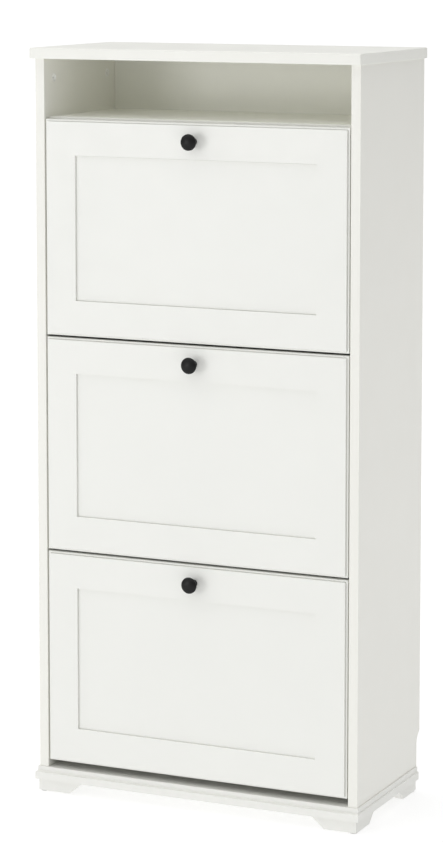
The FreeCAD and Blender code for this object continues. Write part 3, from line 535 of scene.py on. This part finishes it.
@dataclass(frozen=True)
class PrintedFoil:
    """Matt foil on particleboard: fine pores drawn out along the board, a faint drift in tone."""

    name: str = "printed_foil"
    tone: Colour = (0.925, 0.925, 0.878)
    along: Axis = Axis.X

    def make(self) -> bpy.types.Material:
        """The foil as a material."""
        recipe = Recipe(self.name)
        drawn = tuple(0.06 if part else 1.0 for part in self.along.value)
        pores = recipe.noise(900.0, 3.0, 0.6, drawn)
        tone = recipe.shades(recipe.noise(4.0, 2.0), shaded(self.tone, 0.985), self.tone)
        recipe.colour(recipe.speckle(tone, pores, shaded(self.tone, 0.95), 0.5))
        recipe.roughness(recipe.between(pores, 0.47, 0.56))
        recipe.bump(pores, 0.0002, 0.05)
        recipe.constant(IOR=1.46)
        return recipe.material


@dataclass(frozen=True)
class PaintedHardboard:
    """Thin painted hardboard: pressed fibres show through as a pebbly, flecked face."""

    name: str = "painted_hardboard"
    tone: Colour = (0.80, 0.80, 0.76)

    def make(self) -> bpy.types.Material:
        """The hardboard as a material."""
        recipe = Recipe(self.name)
        fibres = recipe.noise(260.0, 5.0, 0.65, (1.0, 1.0, 0.5))
        tone = recipe.shades(recipe.noise(6.0, 3.0), shaded(self.tone, 0.985), self.tone)
        recipe.colour(recipe.speckle(tone, fibres, shaded(self.tone, 0.78), 0.6))
        recipe.roughness(recipe.between(fibres, 0.55, 0.72))
        recipe.bump(fibres, 0.0004, 0.25)
        recipe.constant(IOR=1.45)
        return recipe.material


@dataclass(frozen=True)
class MouldedPlastic:
    """Moulded plastic with a fine spark-eroded grain and slow gloss changes."""

    name: str = "moulded_plastic"
    tone: Colour = (0.82, 0.82, 0.80)
    grain: float = 1300.0
    gloss: tuple[float, float] = (0.40, 0.50)

    def make(self) -> bpy.types.Material:
        """The plastic as a material."""
        recipe = Recipe(self.name)
        recipe.colour(recipe.shades(recipe.noise(14.0, 3.0), shaded(self.tone, 0.965), self.tone))
        recipe.roughness(recipe.between(recipe.noise(40.0, 2.0), *self.gloss))
        recipe.bump(recipe.noise(self.grain, 1.0), 0.0002, 0.22)
        recipe.constant(IOR=1.49)
        return recipe.material


@dataclass(frozen=True)
class PowderCoat:
    """Black powder coat on metal: a tight leathery grain with soft highlights."""

    name: str = "powder_coat"
    tone: Colour = (0.007, 0.007, 0.007)

    def make(self) -> bpy.types.Material:
        """The coat as a material."""
        recipe = Recipe(self.name)
        grain = recipe.cells(1500.0)
        tone = recipe.shades(recipe.noise(90.0, 3.0), self.tone, shaded(self.tone, 1.5))
        recipe.colour(recipe.speckle(tone, recipe.noise(1900.0, 1.0), (0.02, 0.02, 0.02), 0.4))
        recipe.roughness(recipe.between(recipe.noise(160.0, 3.0), 0.30, 0.40))
        recipe.bump(grain, 0.00012, 0.35)
        recipe.constant(IOR=1.45, Specular_IOR_Level=0.24)
        return recipe.material


@dataclass(frozen=True)
class PlatedSteel:
    """Bright zinc plate: cool and warm clouds, and faint drawing lines."""

    name: str = "plated_steel"
    cool: Colour = (0.60, 0.63, 0.66)
    warm: Colour = (0.72, 0.70, 0.64)

    def make(self) -> bpy.types.Material:
        """The plating as a material."""
        recipe = Recipe(self.name)
        recipe.colour(recipe.shades(recipe.noise(240.0, 4.0), self.cool, self.warm))
        recipe.roughness(recipe.between(recipe.noise(500.0, 4.0, 0.6), 0.20, 0.38))
        recipe.bump(recipe.noise(1600.0, 2.0, 0.5, (1.0, 0.2, 1.0)), 0.0001, 0.15)
        recipe.constant(Metallic=1.0)
        return recipe.material


@dataclass(frozen=True)
class DieCast:
    """Dull die-cast zinc: a mottled, slightly pitted skin, with its near-white tone as a painted sheen."""

    name: str = "die_cast_painted_sheen"
    # Near-white tone: a painted sheen that stands in for the highlights on the cam rims.
    tone: Colour = (0.98, 0.98, 0.97)

    def make(self) -> bpy.types.Material:
        """The casting as a material."""
        recipe = Recipe(self.name)
        recipe.colour(recipe.shades(recipe.noise(420.0, 5.0, 0.6), shaded(self.tone, 0.93), self.tone))
        recipe.roughness(recipe.between(recipe.noise(700.0, 3.0), 0.42, 0.60))
        recipe.bump(recipe.noise(1100.0, 3.0), 0.00015, 0.3)
        recipe.constant(Metallic=0.08)
        return recipe.material


@dataclass(frozen=True)
class BareBeech:
    """Unfinished beech: pale rings and short brown rays drawn out along the peg."""

    name: str = "bare_beech"
    light: Colour = (0.74, 0.56, 0.37)
    dark: Colour = (0.60, 0.42, 0.26)
    fleck: Colour = (0.42, 0.27, 0.16)

    def make(self) -> bpy.types.Material:
        """The wood as a material."""
        recipe = Recipe(self.name)
        rings = recipe.noise(500.0, 4.0, 0.55, (0.12, 1.0, 0.5))
        rays = recipe.noise(1500.0, 2.0, 0.5, (0.2, 1.0, 0.4))
        grain = recipe.shades(rings, self.dark, self.light)
        recipe.colour(recipe.speckle(grain, rays, self.fleck, 0.7))
        recipe.roughness(recipe.between(rings, 0.62, 0.75))
        recipe.bump(rings, 0.0003, 0.3)
        return recipe.material


# Lit and shaded copies of the one satin paint: the top board and the sides are painted lighter, and the base
# and feet darker, than the fronts' paint. This is painted light and painted shade for how the light falls on
# each board.
LIGHTENED_BOARD_PAINT = SatinPaint("board_paint_lightened", (0.880, 0.880, 0.834))
SHADED_BASE_PAINT = SatinPaint("base_paint_shaded", (0.850, 0.850, 0.815))
LIGHTENED_UPRIGHT_PAINT = SatinPaint("upright_paint_lightened", (0.880, 0.875, 0.826), along=Axis.Z)


class Palette:
    """Keeps one material for each finish, and dresses pieces in them."""

    def __init__(self) -> None:
        """Pairs each slot with its finish."""
        self.finishes = {
            Slot.PAINT: SatinPaint(),
            Slot.FOIL: PrintedFoil(),
            Slot.HARDBOARD: PaintedHardboard(),
            Slot.PLASTIC: MouldedPlastic(),
            Slot.GLIDE: MouldedPlastic("glide_plastic", (0.60, 0.60, 0.58), 1100.0, (0.45, 0.58)),
            Slot.BLACK: PowderCoat(),
            Slot.ZINC: PlatedSteel(),
            Slot.CAM: DieCast(),
            Slot.BEECH: BareBeech(),
        }
        self.made: dict[str, bpy.types.Material] = {}

    def material(self, finish: object) -> bpy.types.Material:
        """The one material of a finish."""
        if finish.name not in self.made:
            self.made[finish.name] = finish.make()
        return self.made[finish.name]

    def dress(self, piece: bpy.types.Object, slot: Slot, finish: object | None = None) -> None:
        """Gives a piece one finish all over.

        Args:
            piece: the piece.
            slot: its slot in the record.
            finish: another finish for the same slot, if the slot's own one doesn't suit.
        """
        material = self.material(finish or self.finishes[slot])
        piece.data.materials.clear()
        piece.data.materials.append(material)

    def place(
        self,
        piece: bpy.types.Object,
        body: str,
        slot: Slot,
        nodes: Sequence[str],
        finish: object | None = None,
    ) -> None:
        """Finishes a new piece: its material, what it stands for and what it rides on.

        Args:
            piece: the finished piece.
            body: the body it rides on.
            slot: its slot in the record.
            nodes: the nodes it stands for.
            finish: another finish, if the slot's own one doesn't suit.
        """
        self.dress(piece, slot, finish)
        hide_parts(*nodes)
        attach(piece, body)
        log.info("%s rides on %s (%d faces)", piece.name, body, len(piece.data.polygons))


@dataclass
class TopBoard:
    """The top board, with a rounded upper edge at the front and the sides."""

    round_over: float = 2.5 * MM
    facets: int = 5
    under_ease: float = 0.6 * MM

    def build(self, palette: Palette) -> None:
        """Models the board and puts it in place."""
        low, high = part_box("top_panel")
        board = Bench.block("top_board", low, high)
        with Bench.editing(board, "EDGE"):
            Bench.pick_edges(board, lambda a, b: self.shows(a, b, low, high))
            bpy.ops.mesh.bevel(offset=self.round_over, segments=self.facets, affect="EDGES")
        Bench.ease(board, self.under_ease)
        palette.place(board, "case", Slot.PAINT, ["top_panel"], LIGHTENED_BOARD_PAINT)

    def shows(self, a: Vector, b: Vector, low: Vector, high: Vector) -> bool:
        """Whether an edge is one of the three upper ones in view, or a front corner."""
        middle = (a + b) / 2
        upper = middle.z > high.z - MM and middle.y < high.y - MM
        corner = abs(a.z - b.z) > MM and middle.y < low.y + MM
        return upper or corner


@dataclass
class SideBoard:
    """A side board, with a coved skirting cut-out, a rebate for the back and its cam lock pockets."""

    hand: Hand
    cove_start: float = 106 * MM
    cove_full: float = 86 * MM
    cove_depth: float = 13.7 * MM
    cove_slices: int = 6
    rebate_width: float = 8 * MM
    rebate_depth: float = 6 * MM
    rebate_foot: float = 110 * MM
    pocket: float = 7.6 * MM
    pocket_depth: float = 12.5 * MM
    edge: float = 0.7 * MM

    def cove(self, height: float) -> float:
        """How far the rear edge stands back at a height."""
        if height >= self.cove_start:
            return 0.0
        drop = min(1.0, (self.cove_start - height) / (self.cove_start - self.cove_full))
        return self.cove_depth * math.sin(drop * math.pi / 2)

    def build(self, palette: Palette, cams: "CamLocks") -> None:
        """Models the board and puts it in place."""
        node = f"{self.hand.name.lower()}_side"
        low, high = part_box(node)
        board = Bench.block(f"{node}_board", low, high)
        rise = self.cove_start - self.cove_full
        levels = [self.cove_full + rise * step / self.cove_slices for step in range(self.cove_slices + 1)]
        with Bench.editing(board, "VERT"):
            for level in levels:
                Bench.slice(board, Axis.Z, level)
            for level in (low.z, *levels):
                Bench.pick_points(
                    board, lambda p: p.y > high.y - ON_FACE and abs(p.z - level) < ON_LEVEL
                )
                Bench.shift((0.0, -self.cove(level), 0.0))
                bpy.ops.mesh.select_all(action="DESELECT")
        inner = min(abs(low.x), abs(high.x))
        reach = sorted(self.hand.value * (inner + step) for step in (-MM, self.rebate_width))
        rebate = Bench.block(
            "rebate",
            (reach[0], high.y - self.rebate_depth, self.rebate_foot),
            (reach[1], high.y + MM, high.z + MM),
        )
        Bench.subtract(board, rebate)
        for y, z in cams.side_places():
            mouth = (self.hand.value * inner, y, z)
            Bench.bore(board, mouth, Axis.X, self.hand.value, self.pocket, self.pocket_depth)
        Bench.ease(board, self.edge)
        palette.place(board, "case", Slot.PAINT, [node], LIGHTENED_UPRIGHT_PAINT)


@dataclass
class BaseBoard:
    """The base board: a stepped moulding, wider than the case at the front and the sides."""

    cap_side: float = 302.5 * MM
    cap_front: float = -132 * MM
    cap_thick: float = 8.5 * MM
    bevel: float = 2 * MM
    edge: float = 0.5 * MM

    def build(self, palette: Palette) -> None:
        """Models the board and puts it in place."""
        low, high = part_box("bottom_panel")
        step = high.z - self.cap_thick
        board = Bench.block("base_moulding", low, (high.x, high.y, step))
        with Bench.editing(board):
            Bench.pick_faces(board, lambda middle, normal: normal.z > 0.9)
            Bench.extrude((0.0, 0.0, 0.0))
            share = (high.y - self.cap_front) / (high.y - low.y)
            Bench.stretch((self.cap_side / high.x, share, 1.0), (0.0, high.y, step))
            Bench.extrude((0.0, 0.0, self.cap_thick))
            bpy.ops.mesh.select_all(action="SELECT")
            bpy.ops.mesh.remove_doubles(threshold=0.01 * MM)
            bpy.ops.mesh.normals_make_consistent(inside=False)
        with Bench.editing(board, "EDGE"):
            Bench.pick_edges(board, lambda a, b: self.lower_rim(a, b, low, high, step))
            bpy.ops.mesh.bevel(offset=self.bevel, segments=3, affect="EDGES")
        Bench.ease(board, self.edge)
        palette.place(board, "case", Slot.PAINT, ["bottom_panel"], SHADED_BASE_PAINT)

    def lower_rim(self, a: Vector, b: Vector, low: Vector, high: Vector, step: float) -> bool:
        """Whether an edge is on the lower step's upper rim, at the front or a side."""
        middle = (a + b) / 2
        level = abs(a.z - step) < 0.01 * MM and abs(b.z - step) < 0.01 * MM
        outer = abs(middle.x) > high.x - 0.1 * MM or middle.y < low.y + 0.1 * MM
        return level and outer


@dataclass
class Feet:
    """Four bracket feet: two wings from each corner with slanted ends, on small round glides."""

    thick: float = 16 * MM
    slant: float = 24 * MM
    middle: float = 4 * MM
    screw_from_corner: float = 50 * MM
    screw_pocket: float = 3.6 * MM
    pocket_depth: float = 9 * MM
    glide: float = 7 * MM
    glide_thick: float = 1.5 * MM
    edge: float = 1.0 * MM

    def build(self, palette: Palette) -> None:
        """Models one foot and one glide, copies them to the four corners and puts them in place."""
        first = self.bracket()
        pad = self.pad()
        pads = []
        for end, wall in (("front", False), ("rear", True)):
            for hand in (Hand.RIGHT, Hand.LEFT):
                foot = Bench.copy(first, f"bracket_{end}_{hand.name.lower()}")
                glide = Bench.copy(pad, "glide")
                for piece in (foot, glide):
                    if hand is Hand.LEFT:
                        Bench.reflect(piece, Axis.X)
                    if wall:
                        Bench.reflect(piece, Axis.Y, self.middle)
                pads.append(glide)
                Bench.shade(foot)
                palette.place(foot, "case", Slot.PAINT, [f"foot_{end}_{hand.name.lower()}"], SHADED_BASE_PAINT)
        for start in (first, pad):
            bpy.data.objects.remove(start)
        glides = Bench.join("glides", pads)
        Bench.shade(glides)
        palette.place(glides, "case", Slot.GLIDE, ["foot_glides"])

    def bracket(self) -> bpy.types.Object:
        """The front right foot."""
        low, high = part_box("foot_front_right")
        inside = high.x - self.thick
        foot = Bench.block("bracket", (inside, low.y, low.z), (high.x, low.y + self.thick, high.z))
        with Bench.editing(foot):
            Bench.pick_faces(foot, lambda middle, normal: normal.x < -0.9)
            Bench.extrude((low.x - inside, 0.0, 0.0))
            bpy.ops.mesh.select_all(action="DESELECT")
            Bench.slice(foot, Axis.X, inside)
            Bench.pick_faces(foot, lambda middle, normal: normal.y > 0.9 and middle.x > inside)
            Bench.extrude((0.0, high.y - low.y - self.thick, 0.0))
        with Bench.editing(foot, "VERT"):
            Bench.pick_points(foot, lambda p: p.x < low.x + MM and p.z < low.z + MM)
            Bench.shift((self.slant, 0.0, 0.0))
            bpy.ops.mesh.select_all(action="DESELECT")
            Bench.pick_points(foot, lambda p: p.y > high.y - MM and p.z < low.z + MM)
            Bench.shift((0.0, -self.slant, 0.0))
            bpy.ops.mesh.select_all(action="SELECT")
            bpy.ops.mesh.remove_doubles(threshold=0.01 * MM)
            bpy.ops.mesh.normals_make_consistent(inside=False)
        half, reach = self.thick / 2, self.screw_from_corner
        for x, y in ((high.x - reach, low.y + half), (high.x - half, low.y + reach)):
            Bench.bore(foot, (x, y, low.z), Axis.Z, 1, self.screw_pocket, self.pocket_depth)
        Bench.finish_with(
            foot, "BEVEL", width=self.edge, segments=2, limit_method="ANGLE", angle_limit=math.radians(50)
        )
        return foot

    def pad(self) -> bpy.types.Object:
        """The front right glide."""
        low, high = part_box("foot_glides")
        centre = (high.x - self.glide, low.y + self.glide, 0.0)
        outline = [
            (0.0, self.glide - 0.8 * MM),
            (0.3 * MM, self.glide - 0.2 * MM),
            (0.7 * MM, self.glide),
            (self.glide_thick, self.glide),
        ]
        return Bench.turned("pad", centre, Axis.Z, 1, outline, 40)


@dataclass
class Niche:
    """The open niche: its shelf, with cam lock pockets underneath, and the board behind it."""

    front_round: float = 0.6 * MM
    back_ease: float = 1.2 * MM
    pocket: float = 7.6 * MM
    pocket_depth: float = 12.5 * MM
    edge: float = 0.5 * MM

    def build(self, palette: Palette, cams: "CamLocks") -> None:
        """Models the shelf and the board and puts them in place."""
        low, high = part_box("niche_shelf")
        shelf = Bench.block("niche_shelf_board", low, high)
        with Bench.editing(shelf, "EDGE"):
            Bench.pick_edges(shelf, lambda a, b: max(a.y, b.y) < low.y + MM and abs(a.x - b.x) > MM)
            bpy.ops.mesh.bevel(offset=self.front_round, segments=3, affect="EDGES")
        for x, y in cams.shelf_places():
            Bench.bore(shelf, (x, y, low.z), Axis.Z, 1, self.pocket, self.pocket_depth)
        Bench.ease(shelf, self.edge)
        palette.place(shelf, "case", Slot.FOIL, ["niche_shelf"])
        low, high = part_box("niche_back")
        back = Bench.block("niche_back_board", low, high)
        Bench.ease(back, self.back_ease)
        palette.place(back, "case", Slot.FOIL, ["niche_back"])


@dataclass
class CamLocks:
    """The cam locks: a cast drum in each pocket, with a rim, a dished face and a cross recess."""

    radius: float = 7.5 * MM
    depth: float = 12.0 * MM
    rows: tuple[float, float] = (-93.1 * MM, 106.9 * MM)
    levels: tuple[float, float] = (78 * MM, 1247.5 * MM)
    face: float = 283 * MM
    shelf_x: float = 259 * MM
    shelf_under: float = 1166 * MM
    rim: float = 2.4 * MM
    dish: float = 1.6 * MM
    recess: float = 7.6 * MM
    recess_width: float = 2.0 * MM
    recess_depth: float = 3.8 * MM

    def side_places(self) -> list[tuple[float, float]]:
        """Where the drums sit in a side board, as (Y, Z)."""
        return [(y, z) for y in self.rows for z in self.levels]

    def shelf_places(self) -> list[tuple[float, float]]:
        """Where the drums sit under the shelf, as (X, Y)."""
        return [(self.shelf_x * hand.value, y) for hand in Hand for y in self.rows]

    def drum(self, axis: Axis, way: int) -> bpy.types.Object:
        """One drum at the origin.

        Args:
            axis: the axis it is turned about.
            way: 1 or -1 along it, into the board.

        Returns:
            The drum, with its face at the origin.
        """
        outline = [
            (self.depth, self.radius - 0.4 * MM),
            (self.depth - 0.4 * MM, self.radius),
            (0.4 * MM, self.radius),
            (0.1 * MM, self.radius - 0.35 * MM),
            (0.1 * MM, self.radius - self.rim),
            (self.dish, self.radius - self.rim - 0.8 * MM),
        ]
        drum = Bench.turned("drum", (0.0, 0.0, 0.0), axis, way, outline, 40)
        turn = math.radians(30)
        for quarter in range(2):
            long, thin = self.recess / 2, self.recess_width / 2
            bar = Bench.block("bar", (-long, -thin, -self.recess_depth), (long, thin, self.recess_depth))
            Bench.take(bar)
            bar.rotation_euler = (0.0, 0.0, turn + quarter * math.pi / 2)
            bpy.ops.object.transform_apply(location=False, rotation=True, scale=False)
            bar.rotation_euler = axis.turn
            bpy.ops.object.transform_apply(location=False, rotation=True, scale=False)
            Bench.subtract(drum, bar)
        Bench.shade(drum)
        return drum

    def build(self, palette: Palette) -> None:
        """Models a drum for each way it faces and copies it to its places."""
        placed = []
        for hand in Hand:
            drum = self.drum(Axis.X, hand.value)
            for y, z in self.side_places():
                placed.append(Bench.copy(drum, "drum", (self.face * hand.value, y, z)))
            bpy.data.objects.remove(drum)
        drum = self.drum(Axis.Z, 1)
        for x, y in self.shelf_places():
            placed.append(Bench.copy(drum, "drum", (x, y, self.shelf_under)))
        bpy.data.objects.remove(drum)
        palette.place(Bench.join("cam_lock_drums", placed), "case", Slot.CAM, ["cam_locks"])


@dataclass
class TipOutFront:
    """A framed front with its turned knob."""

    flap: Flap
    lip: float = 3.5 * MM
    slope: float = 0.2 * MM
    step: float = 4.0 * MM
    quirk: float = 0.45 * MM
    quirk_depth: float = 1.6 * MM
    stile: float = 57 * MM
    cross: float = 61 * MM
    edge: float = 0.12 * MM
    knob_sides: int = 64
    knob: tuple[tuple[float, float], ...] = field(
        default=(
            (0.0, 6.5),
            (1.3, 6.5),
            (1.9, 6.2),
            (3.0, 5.35),
            (4.6, 4.85),
            (7.0, 4.75),
            (9.2, 4.9),
            (11.2, 5.7),
            (13.2, 7.6),
            (15.2, 10.2),
            (16.8, 12.5),
            (18.2, 13.7),
            (19.6, 14.0),
            (20.9, 13.85),
            (22.2, 13.1),
            (23.5, 11.5),
            (24.5, 9.0),
            (25.2, 6.0),
            (25.6, 3.0),
            (25.7, 0.6),
        )
    )

    def build(self, palette: Palette) -> None:
        """Models the front and its knob and puts them in place."""
        prefix = self.flap.value
        palette.place(self.framed_panel(), self.flap.body, Slot.PAINT, [f"{prefix}_front"])
        palette.place(self.turned_knob(), self.flap.body, Slot.BLACK, [f"{prefix}_knob"])

    def framed_panel(self) -> bpy.types.Object:
        """The front: an edge lip, a steep step up to the frame and one down to the panel, with quirks."""
        low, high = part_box(f"{self.flap.value}_front")
        front = Bench.block(
            f"{self.flap.value}_framed_front", (low.x, low.y + self.step, low.z), high
        )
        middle = ((low.x + high.x) / 2, low.y, (low.z + high.z) / 2)
        frame_x = (high.x - low.x) - 2 * (self.lip + self.slope)
        frame_z = (high.z - low.z) - 2 * (self.lip + self.slope)
        field_x = (high.x - low.x) - 2 * self.stile
        field_z = (high.z - low.z) - 2 * self.cross
        with Bench.editing(front):
            Bench.pick_faces(front, lambda centre, normal: normal.y < -0.9)
            bpy.ops.mesh.inset(thickness=self.lip - self.quirk, depth=0.0)
            bpy.ops.mesh.inset(thickness=self.quirk, depth=-self.quirk_depth)
            bpy.ops.mesh.inset(thickness=self.slope, depth=self.step + self.quirk_depth)
            Bench.extrude((0.0, 0.0, 0.0))
            Bench.stretch((field_x / frame_x, 1.0, field_z / frame_z), middle)
            bpy.ops.mesh.inset(thickness=self.slope, depth=-self.step - self.quirk_depth)
            bpy.ops.mesh.inset(thickness=self.quirk, depth=self.quirk_depth)
        Bench.ease(front, self.edge)
        return front

    def turned_knob(self) -> bpy.types.Object:
        """The knob: a foot, a slim neck and a domed head."""
        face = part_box(f"{self.flap.value}_front")[0].y
        low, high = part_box(f"{self.flap.value}_knob")
        start = ((low.x + high.x) / 2, face, (low.z + high.z) / 2)
        outline = [(run * MM, radius * MM) for run, radius in self.knob]
        knob = Bench.turned(f"{self.flap.value}_turned_knob", start, Axis.Y, -1, outline, self.knob_sides)
        Bench.shade(knob, 60.0)
        return knob


class CarriedNodes:
    """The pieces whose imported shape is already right, each in its own finish."""

    def build(self, palette: Palette) -> None:
        """Dresses every node that nothing stands for."""
        slots = {part["node"]: Slot(part["material_slot"]) for part in frame["record"]["subparts"]}
        for name, node in frame["nodes"].items():
            if not node.hide_render:
                palette.dress(node, slots[name])
                log.info("%s keeps its shape, in %s", name, slots[name].value)


@dataclass
class Studio:
    """A white floor, soft light from the left and the front, and the camera."""

    place: Point = (2.0796, -4.4959, 1.4922)
    yaw: float = 24.924
    pitch: float = 6.265
    lens: float = 124.04
    shift: float = -0.2
    floor_size: float = 40.0
    backdrop: float = 1.05
    zenith: float = 1.76
    horizon: float = 0.05
    right_share: float = 0.60
    left_share: float = 1.18
    table_glow: float = 0.61
    key: float = 81.0

    def build(self) -> None:
        """Sets the floor, the light and the camera."""
        self.floor()
        self.sky()
        self.lamp("key_light", (-3.3, -6.3, 0.8), 2.4, self.key)
        self.camera()

    def floor(self) -> None:
        """A large pale light table with a barely mottled matt face."""
        Bench.clear()
        bpy.ops.mesh.primitive_plane_add(size=self.floor_size, location=(0.0, 0.0, 0.0))
        floor = bpy.context.object
        floor.name = "studio_floor"
        recipe = Recipe("studio_floor")
        recipe.colour(recipe.shades(recipe.noise(2.0, 2.0), (0.41, 0.41, 0.41), (0.44, 0.44, 0.44)))
        recipe.constant(Roughness=0.9, Emission_Strength=self.table_glow)
        recipe.shader.inputs["Emission Color"].default_value = (1.0, 1.0, 1.0, 1.0)
        floor.data.materials.append(recipe.material)

    def sky(self) -> None:
        """A surround that is seen as plain white, and gives its light mostly from above."""
        world = bpy.data.worlds.new("studio_surround")
        bpy.context.scene.world = world
        world.use_nodes = True
        tree = world.node_tree
        tree.nodes.clear()
        seen = tree.nodes.new("ShaderNodeBackground")
        seen.inputs["Color"].default_value = (1.0, 1.0, 1.0, 1.0)
        seen.inputs["Strength"].default_value = self.backdrop
        light = tree.nodes.new("ShaderNodeBackground")
        light.inputs["Color"].default_value = (1.0, 1.0, 0.995, 1.0)
        direction = tree.nodes.new("ShaderNodeTexCoord")
        parts = tree.nodes.new("ShaderNodeSeparateXYZ")
        rise = tree.nodes.new("ShaderNodeMapRange")
        rise.inputs["To Min"].default_value = self.horizon
        rise.inputs["To Max"].default_value = self.zenith
        tree.links.new(direction.outputs["Generated"], parts.inputs["Vector"])
        tree.links.new(parts.outputs["Z"], rise.inputs["Value"])
        drift = tree.nodes.new("ShaderNodeMapRange")
        drift.inputs["From Min"].default_value = -1.0
        drift.inputs["To Min"].default_value = self.left_share
        drift.inputs["To Max"].default_value = self.right_share
        product = tree.nodes.new("ShaderNodeMath")
        product.operation = "MULTIPLY"
        tree.links.new(parts.outputs["X"], drift.inputs["Value"])
        tree.links.new(rise.outputs["Result"], product.inputs[0])
        tree.links.new(drift.outputs["Result"], product.inputs[1])
        tree.links.new(product.outputs["Value"], light.inputs["Strength"])
        path = tree.nodes.new("ShaderNodeLightPath")
        mix = tree.nodes.new("ShaderNodeMixShader")
        output = tree.nodes.new("ShaderNodeOutputWorld")
        tree.links.new(path.outputs["Is Camera Ray"], mix.inputs["Fac"])
        tree.links.new(light.outputs["Background"], mix.inputs[1])
        tree.links.new(seen.outputs["Background"], mix.inputs[2])
        tree.links.new(mix.outputs["Shader"], output.inputs["Surface"])

    def lamp(self, name: str, place: Point, size: float, power: float) -> None:
        """Adds a soft square light that looks at the middle of the cabinet.

        Args:
            name: the light's name.
            place: where it stands.
            size: its side in metres.
            power: its power in watts.
        """
        aim = Vector((0.0, 0.0, MIDDLE_HEIGHT)) - Vector(place)
        turn = aim.to_track_quat("-Z", "Y").to_euler()
        bpy.ops.object.light_add(type="AREA", location=place, rotation=turn)
        lamp = bpy.context.object
        lamp.name = name
        lamp.data.size = size
        lamp.data.energy = power

    def camera(self) -> None:
        """A long lens from the right of the front, a little above."""
        turn = (math.radians(90 - self.pitch), 0.0, math.radians(self.yaw))
        bpy.ops.object.camera_add(location=self.place, rotation=turn)
        camera = bpy.context.object
        camera.name = "portrait_camera"
        camera.data.lens = self.lens
        camera.data.sensor_width = 36.0
        camera.data.shift_y = self.shift
        bpy.context.scene.camera = camera


def main() -> None:
    """Builds every sub-assembly in order."""
    logging.basicConfig(level=logging.INFO, format="%(name)s: %(message)s")
    bpy.context.scene.view_settings.view_transform = "Standard"
    bpy.context.scene.cycles.diffuse_bounces = 10
    palette = Palette()
    cams = CamLocks()
    TopBoard().build(palette)
    for hand in Hand:
        SideBoard(hand).build(palette, cams)
    BaseBoard().build(palette)
    Feet().build(palette)
    Niche().build(palette, cams)
    cams.build(palette)
    for flap in Flap:
        TipOutFront(flap).build(palette)
    CarriedNodes().build(palette)
    Studio().build()
    Bench.clear()


if __name__ == "__main__":
    main()
